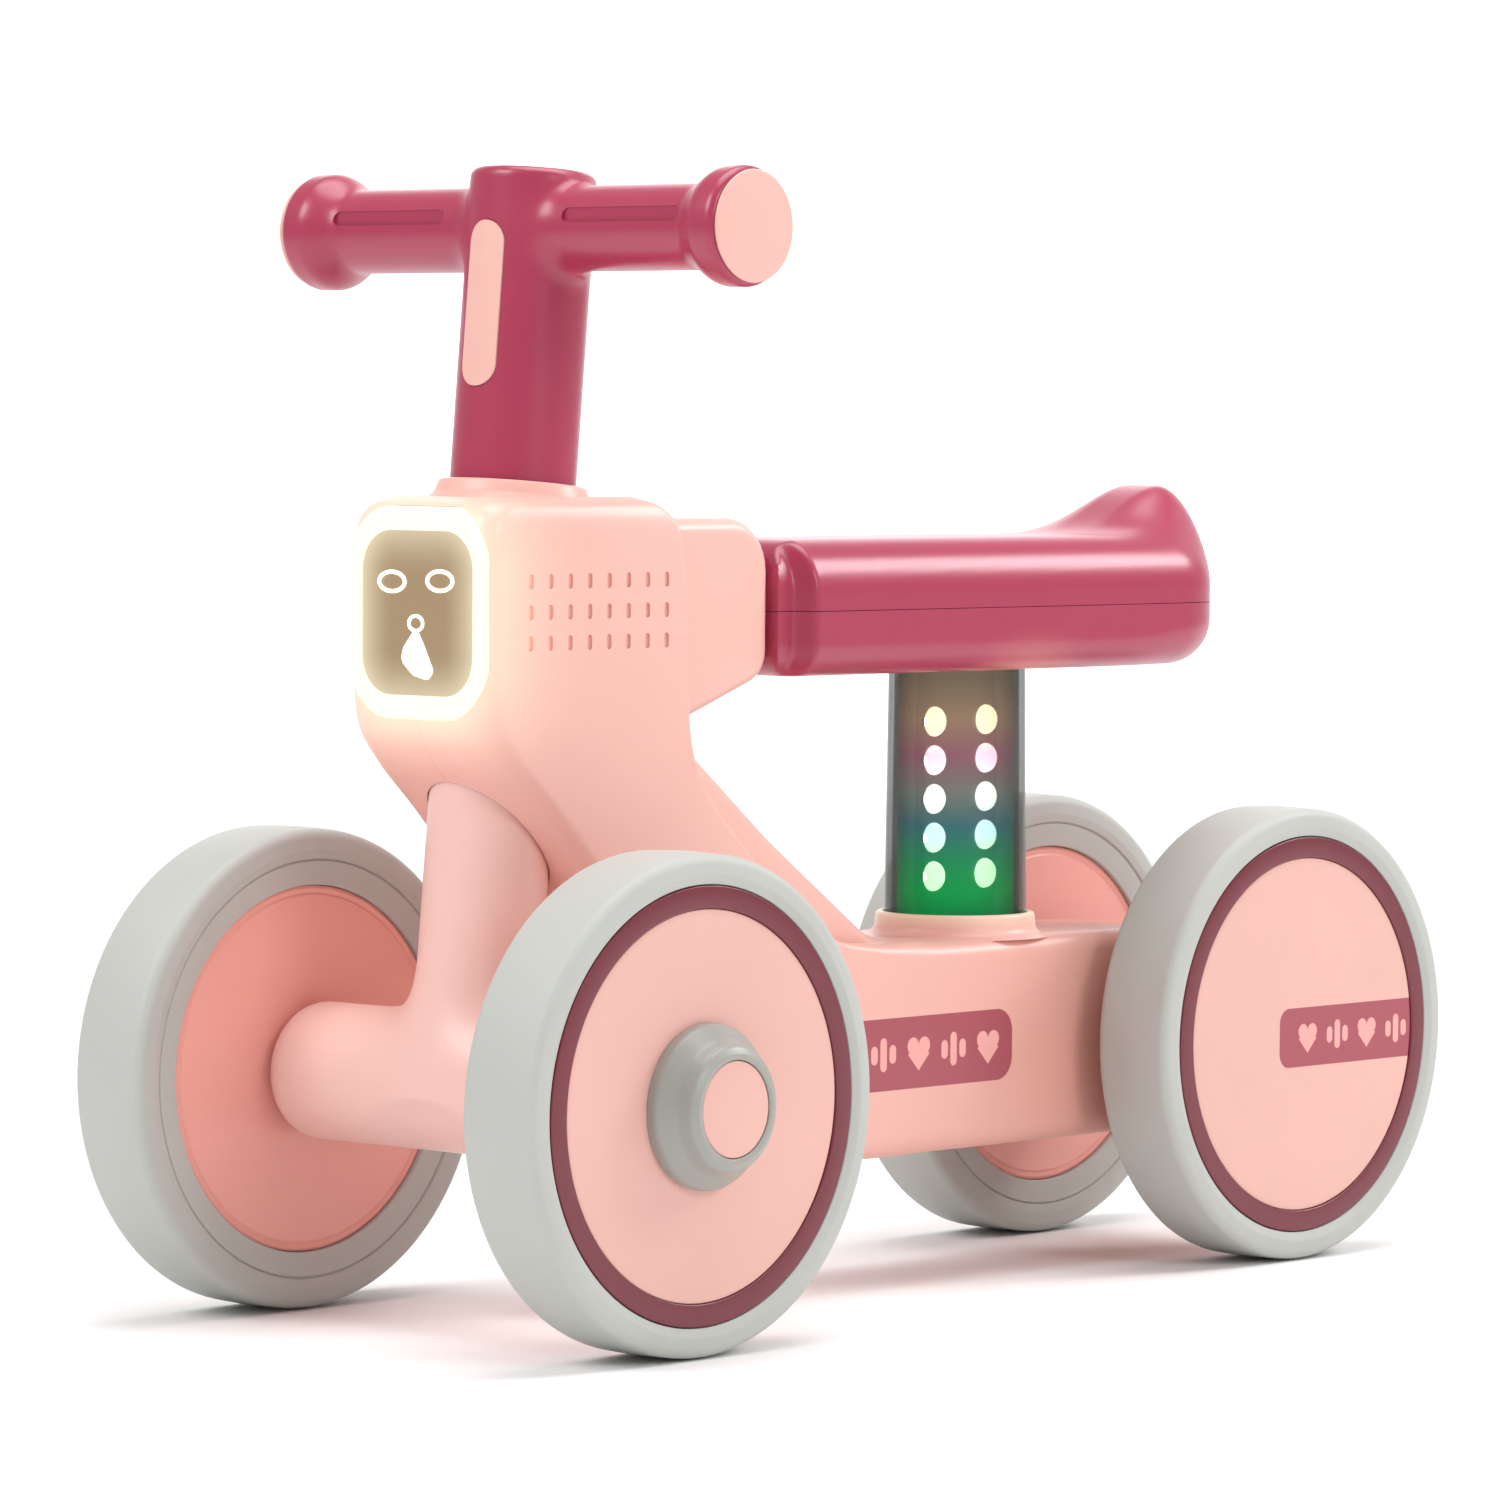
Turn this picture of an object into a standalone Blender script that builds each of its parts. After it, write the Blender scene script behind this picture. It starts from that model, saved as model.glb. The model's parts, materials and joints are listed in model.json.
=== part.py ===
"""Toddler's four-wheel mini balance bike with a lit head, a lit seat post and steered front wheels.

Metres, +Z up. The origin is on the floor under the middle of the wheelbase, the front is towards -Y and the
rider's left is +X. Run with: blender --background --python part.py
"""
import math

import bmesh
import bpy
from mathutils import Matrix, Vector

# Overall sizes
WHEELBASE = 0.3226
TYRE_RADIUS = 0.075
FRONT_TRACK = 0.1654
REAR_TRACK = 0.1104
RAKE = math.radians(5.25)
BODY_WIDTH = 0.0612
HEAD_TOP = 0.1784
HANDLEBAR_WIDTH = 0.1858
HANDLEBAR_HEIGHT = 0.2606
STEM_TOP = 0.2792
SEAT_HEIGHT = 0.1650
SEAT_WIDTH = 0.0720

# Clearances and walls
GAP = 0.0003
RUN_GAP = 0.0006
WALL = 0.0030

# Wheels
TYRE_WIDTH = 0.0296
TYRE_SECTION = 0.0179
TRIM_INNER = 0.0586
TRIM_WIDTH = 0.0067
TRIM_PLANE = 0.0138
COVER_THICK = 0.0025
RIM_INNER_PLANE = -0.0117
RIM_OUTER_PLANE = 0.0104
AXLE_RADIUS = 0.004
HUB_RADIUS = 0.0115
NUT_RADIUS = 0.0075
NUT_SIDES = 6
NUT_THICK = 0.0045
NUT_POCKET_DEPTH = 0.0064
CAP_RADIUS = 0.0245
CAP_RIM_RADIUS = 0.0180
CAP_HEIGHT = 0.0129
BADGE_RADIUS = 0.0144

# Steering column and handlebar
STEM_RADIUS = 0.0193
STEM_BOTTOM = 0.1720
GRIP_RADIUS = 0.0130
GRIP_FLARE_RADIUS = 0.0181
GRIP_CAP_THICK = 0.0031
INLAY_WIDTH = 0.0160
INLAY_BOTTOM = 0.2120
INLAY_TOP = 0.2632
INLAY_DEPTH = 0.0016
ROD_RADIUS = 0.0060
ROD_BOTTOM = 0.0600
ROD_TOP = 0.2450
COLUMN_RADIUS = 0.0190
COLUMN_TOP = 0.0960
HOUSING_RADIUS = 0.0212
SLEEVE_RADIUS = 0.0220
SLEEVE_BORE = 0.0170
BUSH_LENGTH = 0.0100
COLLAR_RADIUS = 0.0228
COLLAR_HEIGHT = 0.0038
SCREW_RADIUS = 0.0025

# Body, heights above the axles
CORE_WIDTH = 0.0460
DECK_TOP = 0.0352
DECK_BOTTOM = -0.0325
LAMP_CENTRE = 0.1435
LAMP_WIDTH = 0.0570
LAMP_HEIGHT = 0.0640
LAMP_CORNER = 0.0200
LAMP_BORDER = 0.0052
LAMP_FRONT = -0.0252
SLOT_PITCH = 0.0085
SLOT_ROW_PITCH = 0.0093
SLOT_SIZE = (0.0019, 0.0045)
SLOT_COLUMNS = 8
SLOT_ROWS = 3
SPEAKER_RADIUS = 0.0130

# Seat post, heights above the axles, measured back from the front and rear axles
POST_RADIUS = 0.0228
POST_TAPER = 0.0005
POST_WALL = 0.0020
POST_BACK = -0.0978
POST_SOCKET_DEPTH = 0.0120
LED_COLUMN_OFFSET = 0.0128
LED_RADIUS = 0.0050
LED_DOME = 0.0038
LED_ROWS = 5
LED_ROW_PITCH = 0.01258
LED_FIRST_ROW = 0.0540
BOARD_THICK = 0.0016

# Seat
SEAT_THICK = 0.0434
SEAT_BELOW_SEAM = 0.0205
SEAT_FRONT = 0.1085
SEAT_BEHIND_AXLE = 0.0110
SEAT_FLOOR = 0.0060
CREST_RISE = 0.0160
TONGUE_LENGTH = 0.0200
TONGUE_WIDTH = 0.0350

# Electrics in the deck
CELL_RADIUS = 0.0071
CELL_LENGTH = 0.0500
HATCH_SIZE = (0.0420, 0.0640)
HATCH_CENTRE = 0.1960
BUTTON_RADIUS = 0.0060
BUTTON_CENTRE = 0.2500
BUTTON_TRAVEL = 0.0012

# Facets
WHEEL_FACETS = 32
ROUND_FACETS = 20
DOME_FACETS = 8
AXLE_FACETS = 14
SMALL_FACETS = 12

FRONT_Y = -WHEELBASE / 2
REAR_Y = WHEELBASE / 2
HALF_BODY = BODY_WIDTH / 2
PINK = (0.86, 0.49, 0.44)
ROSE = (0.44, 0.05, 0.11)
GREY = (0.52, 0.54, 0.50)


# Tools ---------------------------------------------------------------------------------------------

def clear_scene():
    for old in list(bpy.data.objects):
        bpy.data.objects.remove(old, do_unlink=True)


def material(name, colour, roughness=0.45, metallic=0.0):
    found = bpy.data.materials.get(name)
    if found:
        return found
    made = bpy.data.materials.new(name)
    made.use_nodes = True
    shader = made.node_tree.nodes["Principled BSDF"]
    shader.inputs["Base Color"].default_value = (*colour, 1.0)
    shader.inputs["Roughness"].default_value = roughness
    shader.inputs["Metallic"].default_value = metallic
    return made


def closed_object(name, rings, closed_path=False):
    """Skin a list of equal rings; the first and last ring are capped unless the path closes on itself."""
    shape = bmesh.new()
    loops = [[shape.verts.new(point) for point in ring] for ring in rings]
    pairs = list(zip(loops, loops[1:]))
    if closed_path:
        pairs.append((loops[-1], loops[0]))
    count = len(loops[0])
    for low, high in pairs:
        for i in range(count):
            j = (i + 1) % count
            shape.faces.new((low[i], low[j], high[j], high[i]))
    if not closed_path:
        shape.faces.new(loops[0][::-1])
        shape.faces.new(loops[-1])
    bmesh.ops.remove_doubles(shape, verts=shape.verts, dist=1e-6)
    loose = [edge for edge in shape.edges if not edge.link_faces]
    bmesh.ops.delete(shape, geom=loose, context="EDGES")
    bmesh.ops.recalc_face_normals(shape, faces=shape.faces)
    bmesh.ops.triangulate(shape, faces=shape.faces)
    mesh = bpy.data.meshes.new(name)
    shape.to_mesh(mesh)
    shape.free()
    made = bpy.data.objects.new(name, mesh)
    bpy.context.collection.objects.link(made)
    return made


def turned(name, profile, facets=ROUND_FACETS, axis="Z"):
    """Turn a closed outline of (radius, height) points about an axis; points at radius 0 become poles."""
    rings = []
    for step in range(facets):
        angle = 2 * math.pi * step / facets
        side, front = math.cos(angle), math.sin(angle)
        if axis == "Z":
            rings.append([(r * side, r * front, h) for r, h in profile])
        else:
            rings.append([(h, r * side, r * front) for r, h in profile])
    return closed_object(name, rings, closed_path=True)


def rod(name, radius, low, high, facets=ROUND_FACETS, axis="Z"):
    return turned(name, [(0, low), (radius, low), (radius, high), (0, high)], facets, axis)


def box(name, low, high):
    (x0, y0, z0), (x1, y1, z1) = low, high
    rings = [[(x0, y0, z), (x1, y0, z), (x1, y1, z), (x0, y1, z)] for z in (z0, z1)]
    return closed_object(name, rings)


def rounded_rectangle(width, height, corner, steps=5):
    """Points round a rectangle with round corners, centred on the origin."""
    points = []
    for quarter, (sx, sy) in enumerate(((1, 1), (-1, 1), (-1, -1), (1, -1))):
        centre = (sx * (width / 2 - corner), sy * (height / 2 - corner))
        for step in range(steps + 1):
            angle = math.pi / 2 * (quarter + step / steps)
            points.append((centre[0] + corner * math.cos(angle), centre[1] + corner * math.sin(angle)))
    return points


def front_prism(name, outline, low, high, height):
    """An outline in X and Z, pushed along Y."""
    rings = [[(x, y, z + height) for x, z in outline] for y in (low, high)]
    return closed_object(name, rings)


def bake_modifiers(made):
    depsgraph = bpy.context.evaluated_depsgraph_get()
    mesh = bpy.data.meshes.new_from_object(made.evaluated_get(depsgraph))
    made.modifiers.clear()
    made.data = mesh
    return made


def combine(made, others, operation, solver="MANIFOLD"):
    """Apply a Boolean with each other shape in turn, then remove the other shapes."""
    for other in others:
        change = made.modifiers.new("combine", "BOOLEAN")
        change.operation = operation
        change.solver = solver
        change.object = other
        bake_modifiers(made)
        bpy.data.objects.remove(other, do_unlink=True)
    return made


def cut(made, *others, solver="MANIFOLD"):
    return combine(made, others, "DIFFERENCE", solver)


def join(made, *others, solver="MANIFOLD"):
    return combine(made, others, "UNION", solver)


def copy_of(made, name):
    twin = bpy.data.objects.new(name, made.data.copy())
    bpy.context.collection.objects.link(twin)
    return twin


def moved(made, offset=(0, 0, 0), turn=None):
    matrix = Matrix.Translation(Vector(offset))
    if turn:
        matrix = matrix @ turn
    made.data.transform(matrix)
    return made


def finish(made, slot, parent=None, sharp=40.0):
    made.data.materials.clear()
    made.data.materials.append(slot)
    made.data.shade_smooth()
    made.data.set_sharp_from_angle(angle=math.radians(sharp))
    if parent:
        made.parent = parent
    return made


def empty(name, place, turn=(0, 0, 0), parent=None):
    made = bpy.data.objects.new(name, None)
    made.location = place
    made.rotation_euler = turn
    made.parent = parent
    bpy.context.collection.objects.link(made)
    return made


def from_front(back, up):
    """A point of the side view, measured back and up from the front axle."""
    return (FRONT_Y + back, TYRE_RADIUS + up)


def from_rear(back, up):
    return (REAR_Y + back, TYRE_RADIUS + up)


def steering_turn():
    return Matrix.Rotation(-RAKE, 4, "X")


def on_steering_axis(made):
    """Move a shape built along +Z from the front axle onto the raked steering axis."""
    return moved(made, (0, FRONT_Y, TYRE_RADIUS), steering_turn())


def steering_point(along):
    return (FRONT_Y + along * math.sin(RAKE), TYRE_RADIUS + along * math.cos(RAKE))


# Body ----------------------------------------------------------------------------------------------

def body_stations():
    """Upper point, lower point, half width, lower edge rounding, upper edge rounding and end factor."""
    full = HALF_BODY
    head = HEAD_TOP
    return [
        (from_front(0.0414, head), from_front(-0.0130, head), full - 0.0095, 0.008, 0.008, 1.0),
        (from_front(0.0515, head - 0.0029), from_front(-0.0200, head - 0.0026), full - 0.0040, 0.008, 0.008, 0.7),
        (from_front(0.0585, head - 0.0089), from_front(-0.0236, head - 0.0084), full - 0.0008, 0.008, 0.007, 0.3),
        (from_front(0.0616, head - 0.0194), from_front(-0.0244, head - 0.0184), full, 0.007, 0.005, 0.0),
        (from_front(0.0635, 0.1380), from_front(-0.0244, 0.1380), full, 0.007, 0.004, 0.0),
        (from_front(0.0643, 0.1160), from_front(-0.0244, 0.1100), full, 0.010, 0.004, 0.0),
        (from_front(0.0655, 0.1040), from_front(-0.0150, 0.0990), full, 0.012, 0.004, 0.0),
        (from_front(0.0700, 0.0940), from_front(0.0010, 0.0840), full, 0.012, 0.004, 0.0),
        (from_front(0.0783, 0.0848), from_front(0.0190, 0.0660), full, 0.010, 0.004, 0.0),
        (from_front(0.0991, 0.0653), from_front(0.0430, 0.0420), full, 0.009, 0.004, 0.0),
        (from_front(0.1155, 0.0521), from_front(0.0670, 0.0180), full, 0.008, 0.004, 0.0),
        (from_front(0.1369, 0.0395), from_front(0.0930, -0.0080), full, 0.008, 0.004, 0.0),
        (from_front(0.1520, DECK_TOP + 0.0020), from_front(0.1180, -0.0280), full, 0.008, 0.005, 0.0),
        (from_front(0.1720, DECK_TOP + 0.0008), from_front(0.1450, DECK_BOTTOM), full, 0.008, 0.006, 0.0),
        (from_front(0.1920, DECK_TOP), from_front(0.1920, DECK_BOTTOM), full, 0.008, 0.006, 0.0),
        (from_rear(-0.0640, DECK_TOP), from_rear(-0.0640, DECK_BOTTOM), full, 0.008, 0.006, 0.0),
        (from_rear(0.0030, DECK_TOP - 0.0025), from_rear(0.0030, DECK_BOTTOM), full, 0.008, 0.006, 0.0),
        (from_rear(0.0170, 0.0270), from_rear(0.0170, -0.0275), full - 0.0010, 0.008, 0.006, -0.4),
        (from_rear(0.0270, 0.0180), from_rear(0.0270, -0.0180), full - 0.0050, 0.007, 0.006, -0.8),
        (from_rear(0.0315, 0.0080), from_rear(0.0315, -0.0080), full - 0.0130, 0.004, 0.004, -1.0),
    ]


def body_ring(upper, lower, half, lower_edge, upper_edge):
    """A closed ring round the body in the plane through its upper and lower points."""
    span = math.dist(upper, lower)
    across = ((upper[0] - lower[0]) / span, (upper[1] - lower[1]) / span)
    soft = 1 - math.sqrt(0.5)
    right = [
        (half - lower_edge, 0.0),
        (half - lower_edge * soft, lower_edge * soft),
        (half, lower_edge),
        (half, span - upper_edge),
        (half - upper_edge * soft, span - upper_edge * soft),
        (half - upper_edge, span),
    ]
    ring = right + [(-x, d) for x, d in reversed(right)]
    return [(x, lower[0] + across[0] * d, lower[1] + across[1] * d) for x, d in ring]


def body_loft(name, inset):
    """The main body, or the hollow inside it when inset is the wall thickness."""
    rings = []
    for upper, lower, half, lower_edge, upper_edge, end in body_stations():
        span = math.dist(upper, lower)
        across = ((upper[0] - lower[0]) / span, (upper[1] - lower[1]) / span)
        along = (-across[1], across[0]) if end > 0 else (across[1], -across[0])
        shift = [abs(end) * inset * a * (-1 if end > 0 else 1) for a in along]
        if end > 0:
            shift = [0.0, -end * inset]
        if end < 0:
            shift = [end * inset, 0.0]
        near = [lower[i] + across[i] * inset + shift[i] for i in (0, 1)]
        far = [upper[i] - across[i] * inset + shift[i] for i in (0, 1)]
        rings.append(body_ring(far, near, half - inset, max(lower_edge - inset / 2, 0.002),
                               max(upper_edge - inset / 2, 0.002)))
    return closed_object(name, rings)


def core_outline():
    """Side outline of the narrower core: the neck that holds the seat and the spine of the down tube."""
    neck = HEAD_TOP - 0.0064
    seat_bottom = SEAT_HEIGHT - SEAT_THICK
    return [
        from_front(0.0050, neck), from_front(0.0880, neck), from_front(0.0965, neck - 0.0026),
        from_front(0.1025, neck - 0.0085), from_front(0.1058, neck - 0.0170), from_front(0.1063, neck - 0.0265),
        from_front(0.1037, seat_bottom + 0.0055), from_front(0.0960, seat_bottom - 0.0012),
        from_front(0.0731, seat_bottom - 0.0107), from_front(0.0640, 0.1065), from_front(0.0700, 0.1030),
        from_front(0.0799, 0.0976), from_front(0.1007, 0.0835), from_front(0.1242, 0.0653),
        from_front(0.1500, DECK_TOP + 0.0115), from_front(0.1640, DECK_TOP + 0.0020),
        from_front(0.1700, DECK_TOP - 0.0060), from_front(0.1500, 0.0100), from_front(0.1100, 0.0150),
        from_front(0.0500, 0.0600), from_front(0.0100, 0.1000),
    ]


def inset_outline(points, inset):
    """Move each edge of a clockwise outline inwards and join the moved edges at their crossings."""
    count = len(points)
    moved_points = []
    for i in range(count):
        before, here, after = points[i - 1], points[i], points[(i + 1) % count]
        first = Vector((here[0] - before[0], here[1] - before[1])).normalized()
        second = Vector((after[0] - here[0], after[1] - here[1])).normalized()
        normal = Vector((first.y + second.y, -first.x - second.x)).normalized()
        reach = inset / max(normal.dot(Vector((first.y, -first.x))), 0.4)
        moved_points.append((here[0] + normal.x * reach, here[1] + normal.y * reach))
    return moved_points


def core_prism(name, inset):
    half = CORE_WIDTH / 2 - inset
    edge = 0.0045
    rings = []
    for depth, out in ((half, edge), (half - edge * 0.3, edge * 0.3), (half - edge, 0.0)):
        rings.append([(depth, y, z) for y, z in inset_outline(core_outline(), inset + out)])
    for depth, out in ((half - edge, 0.0), (half - edge * 0.3, edge * 0.3), (half, edge)):
        rings.append([(-depth, y, z) for y, z in inset_outline(core_outline(), inset + out)])
    return closed_object(name, rings)


def post_centre():
    return from_rear(POST_BACK, 0)[0]


def post_bottom():
    return TYRE_RADIUS + DECK_TOP - POST_SOCKET_DEPTH


def body_halves(slot):
    shell = join(body_loft("body", 0), core_prism("core", 0))
    hollow = join(body_loft("hollow", WALL), core_prism("core_hollow", WALL))
    sleeve = on_steering_axis(rod("sleeve", SLEEVE_RADIUS, COLUMN_TOP - 0.040, HEAD_TOP + 0.010))
    post_y = post_centre()
    deck_high = TYRE_RADIUS + DECK_TOP + 0.010
    socket = moved(rod("socket", POST_RADIUS + POST_TAPER + WALL + GAP, post_bottom() - 0.004, deck_high),
                   (0, post_y, 0))
    boss = moved(rod("axle_boss", AXLE_RADIUS + 2 * WALL, -BODY_WIDTH, BODY_WIDTH, SMALL_FACETS, "X"),
                 (0, REAR_Y, TYRE_RADIUS))
    hollow = cut(hollow, sleeve, socket, boss)
    shell = cut(shell, hollow)
    column_room = COLUMN_RADIUS + 2 * RUN_GAP
    stem_room = STEM_RADIUS + RUN_GAP
    wire_room = POST_RADIUS - 2 * POST_WALL - 0.002
    post_room = POST_RADIUS + POST_TAPER + GAP
    column_end = COLUMN_TOP + 2 * GAP
    stem_floor = STEM_BOTTOM - RUN_GAP
    steering_bore = [(0, 0.010), (column_room, 0.010), (column_room, column_end), (SLEEVE_BORE, column_end),
                     (SLEEVE_BORE, stem_floor), (stem_room, stem_floor), (stem_room, HEAD_TOP + 0.030),
                     (0, HEAD_TOP + 0.030)]
    post_bore = [(0, post_bottom() - 0.020), (wire_room, post_bottom() - 0.020), (wire_room, post_bottom()),
                 (post_room, post_bottom()), (post_room, deck_high), (0, deck_high)]
    tools = [
        on_steering_axis(turned("steering_bore", steering_bore)),
        moved(turned("post_bore", post_bore), (0, post_y, 0)),
        moved(rod("axle_hole", AXLE_RADIUS + GAP, -BODY_WIDTH, BODY_WIDTH, AXLE_FACETS, "X"),
              (0, REAR_Y, TYRE_RADIUS)),
        lamp_prism("lamp_hole", GAP, LAMP_FRONT - 0.010, LAMP_FRONT + 0.012),
        tongue_room(),
        hatch_box("hatch", GAP, -0.010, WALL + 0.001),
        moved(rod("button_hole", BUTTON_RADIUS + GAP, -0.010, 0.010, SMALL_FACETS), button_place()),
    ]
    shell = cut(shell, *tools, *speaker_slots())
    reach = 2 * WHEELBASE
    for side, name in ((1, "body_left"), (-1, "body_right")):
        half = copy_of(shell, name)
        low, high = sorted((side * GAP / 2, side * reach))
        keep = box("keep", (low, -reach, -reach), (high, reach, reach))
        combine(half, [keep], "INTERSECT")
        finish(half, slot, sharp=32)
    bpy.data.objects.remove(shell, do_unlink=True)


def speaker_slots():
    """Rows of short upright slots through both sides of the head."""
    slots = []
    first_back = 0.0232 - SLOT_PITCH * (SLOT_COLUMNS - 1) / 2
    first_up = LAMP_CENTRE + 0.0005 - SLOT_ROW_PITCH * (SLOT_ROWS - 1) / 2
    for column in range(SLOT_COLUMNS):
        for row in range(SLOT_ROWS):
            y, z = from_front(first_back + column * SLOT_PITCH, first_up + row * SLOT_ROW_PITCH)
            wide, tall = (size / 2 for size in SLOT_SIZE)
            for side in (1, -1):
                near, far = sorted((side * (HALF_BODY + WALL), side * (HALF_BODY - 1.6 * WALL)))
                slots.append(box("slot", (near, y - wide, z - tall), (far, y + wide, z + tall)))
    return slots


def lamp_prism(name, grow, low, high):
    outline = rounded_rectangle(LAMP_WIDTH + 2 * grow, LAMP_HEIGHT + 2 * grow, LAMP_CORNER + grow)
    return front_prism(name, outline, FRONT_Y + low, FRONT_Y + high, TYRE_RADIUS + LAMP_CENTRE)


def tongue_heights():
    seam = TYRE_RADIUS + SEAT_HEIGHT - SEAT_THICK + SEAT_BELOW_SEAM
    return seam, seam - 0.0130, seam + 0.0170


def tongue_room():
    seam, low, high = tongue_heights()
    half = TONGUE_WIDTH / 2 + RUN_GAP
    y = FRONT_Y + SEAT_FRONT
    return box("mouth", (-half, y - 0.012, low - RUN_GAP), (half, y + 0.012, high + RUN_GAP))


def deck_floor():
    return TYRE_RADIUS + DECK_BOTTOM


def hatch_box(name, grow, low, high):
    y = FRONT_Y + HATCH_CENTRE
    half_x, half_y = HATCH_SIZE[0] / 2 + grow, HATCH_SIZE[1] / 2 + grow
    return box(name, (-half_x, y - half_y, deck_floor() + low), (half_x, y + half_y, deck_floor() + high))


def button_place():
    return (0, FRONT_Y + BUTTON_CENTRE, deck_floor())


# Lamp and sound ------------------------------------------------------------------------------------

def lamp(pink, lit, panel_slot, dark):
    high = LAMP_FRONT + 0.0050
    ring = lamp_prism("lamp_ring", 0, LAMP_FRONT, high)
    inner = -LAMP_BORDER
    ring = cut(ring, lamp_prism("hole", inner + GAP, LAMP_FRONT - 0.001, high + 0.001))
    finish(ring, lit)
    finish(lamp_prism("lamp_panel", inner, LAMP_FRONT + 0.0010, LAMP_FRONT + 0.0030), panel_slot)
    board = lamp_prism("lamp_led_board", inner - 0.002, LAMP_FRONT + 0.0070, LAMP_FRONT + 0.0070 + BOARD_THICK)
    finish(board, dark)
    back = LAMP_FRONT + 0.0128
    tray = lamp_prism("lamp_housing", inner / 2, high + GAP, back)
    room = lamp_prism("room", inner - GAP, high - 0.001, back - BOARD_THICK)
    finish(cut(tray, room), pink)


def speaker(dark):
    y, z = from_front(0.0232, LAMP_CENTRE)
    far = HALF_BODY - WALL - GAP
    near = SLEEVE_RADIUS + GAP
    profile = [(0, near), (SPEAKER_RADIUS * 0.6, near), (SPEAKER_RADIUS * 0.6, near + 0.0018),
               (SPEAKER_RADIUS, near + 0.0030), (SPEAKER_RADIUS, far), (0, far)]
    finish(moved(turned("speaker", profile, ROUND_FACETS, "X"), (0, y, z)), dark)


# Steering ------------------------------------------------------------------------------------------

def capsule_prism(name, grow, low, high):
    """An upright capsule on the front of the stem, pushed along the stem's own Y."""
    width = INLAY_WIDTH + 2 * grow
    height = INLAY_TOP - INLAY_BOTTOM + 2 * grow
    outline = rounded_rectangle(width, height, width / 2 * 0.999)
    return front_prism(name, outline, low, high, (INLAY_TOP + INLAY_BOTTOM) / 2)


def handlebar(rose, pink, steel, axis):
    lip = 0.0030
    stem = turned("handlebar", [
        (0, STEM_BOTTOM), (STEM_RADIUS, STEM_BOTTOM), (STEM_RADIUS, STEM_TOP - lip),
        (STEM_RADIUS - lip * 0.3, STEM_TOP - lip * 0.3), (STEM_RADIUS - lip, STEM_TOP), (0, STEM_TOP)])
    end = HANDLEBAR_WIDTH / 2 - GRIP_CAP_THICK - GAP
    half_profile = [(GRIP_FLARE_RADIUS - 0.0010, end), (GRIP_FLARE_RADIUS, end - 0.0010),
                    (GRIP_FLARE_RADIUS - 0.0006, end - 0.0050), (GRIP_RADIUS + 0.0018, end - 0.0120),
                    (GRIP_RADIUS + 0.0002, end - 0.0190), (GRIP_RADIUS, STEM_RADIUS + 0.006),
                    (GRIP_RADIUS + 0.0030, STEM_RADIUS - 0.0010)]
    profile = [(0, end)] + half_profile + [(r, -x) for r, x in reversed(half_profile)] + [(0, -end)]
    bar = moved(turned("bar", profile, ROUND_FACETS, "X"), (0, 0, HANDLEBAR_HEIGHT))
    stem = join(stem, bar)
    front = -STEM_RADIUS - 0.010
    stem = cut(stem, rod("rod_hole", ROD_RADIUS + GAP, 0, ROD_TOP + GAP, SMALL_FACETS))
    pocket = capsule_prism("pocket", GAP, front, 0)
    pocket = cut(pocket, rod("keep", STEM_RADIUS - INLAY_DEPTH - GAP, 0, STEM_TOP + 0.01))
    stem = cut(stem, pocket)
    stem = cut(stem, stem_screw_shape("screw_hole", GAP))
    finish(stem, rose, axis)
    inlay = capsule_prism("stem_inlay", 0, front, 0)
    inlay = cut(inlay, rod("inside", STEM_RADIUS - INLAY_DEPTH, 0, STEM_TOP + 0.01))
    skin = turned("skin", [(STEM_RADIUS + 0.0002, 0), (0.1, 0), (0.1, STEM_TOP + 0.01),
                           (STEM_RADIUS + 0.0002, STEM_TOP + 0.01)])
    finish(cut(inlay, skin), pink, axis)
    finish(rod("steerer_rod", ROD_RADIUS, ROD_BOTTOM, ROD_TOP, SMALL_FACETS), steel, axis)
    finish(stem_screw_shape("stem_screw", 0), steel, axis)
    cap_radius = GRIP_FLARE_RADIUS + 0.0003
    for side, name in ((1, "grip_cap_left"), (-1, "grip_cap_right")):
        face = HANDLEBAR_WIDTH / 2
        profile = [(0, side * (face - GRIP_CAP_THICK)), (cap_radius, side * (face - GRIP_CAP_THICK)),
                   (cap_radius, side * (face - 0.0012)), (cap_radius - 0.0012, side * face), (0, side * face)]
        cap = moved(turned(name, profile, ROUND_FACETS, "X"), (0, 0, HANDLEBAR_HEIGHT))
        finish(cap, pink, axis)


def stem_screw_shape(name, grow):
    """Screw from the back of the stem towards the rod."""
    high = 0.1960
    tip = ROD_RADIUS + 2 * GAP - grow
    head = STEM_RADIUS - 0.0045 - grow
    back = STEM_RADIUS - 0.0015 + (0.010 if grow else 0)
    profile = [(0, tip), (SCREW_RADIUS + grow, tip), (SCREW_RADIUS + grow, head), (2 * SCREW_RADIUS + grow, head),
               (2 * SCREW_RADIUS + grow, back), (0, back)]
    made = turned(name, profile, SMALL_FACETS)
    return moved(made, (0, 0, high), Matrix.Rotation(-math.pi / 2, 4, "X"))


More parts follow.
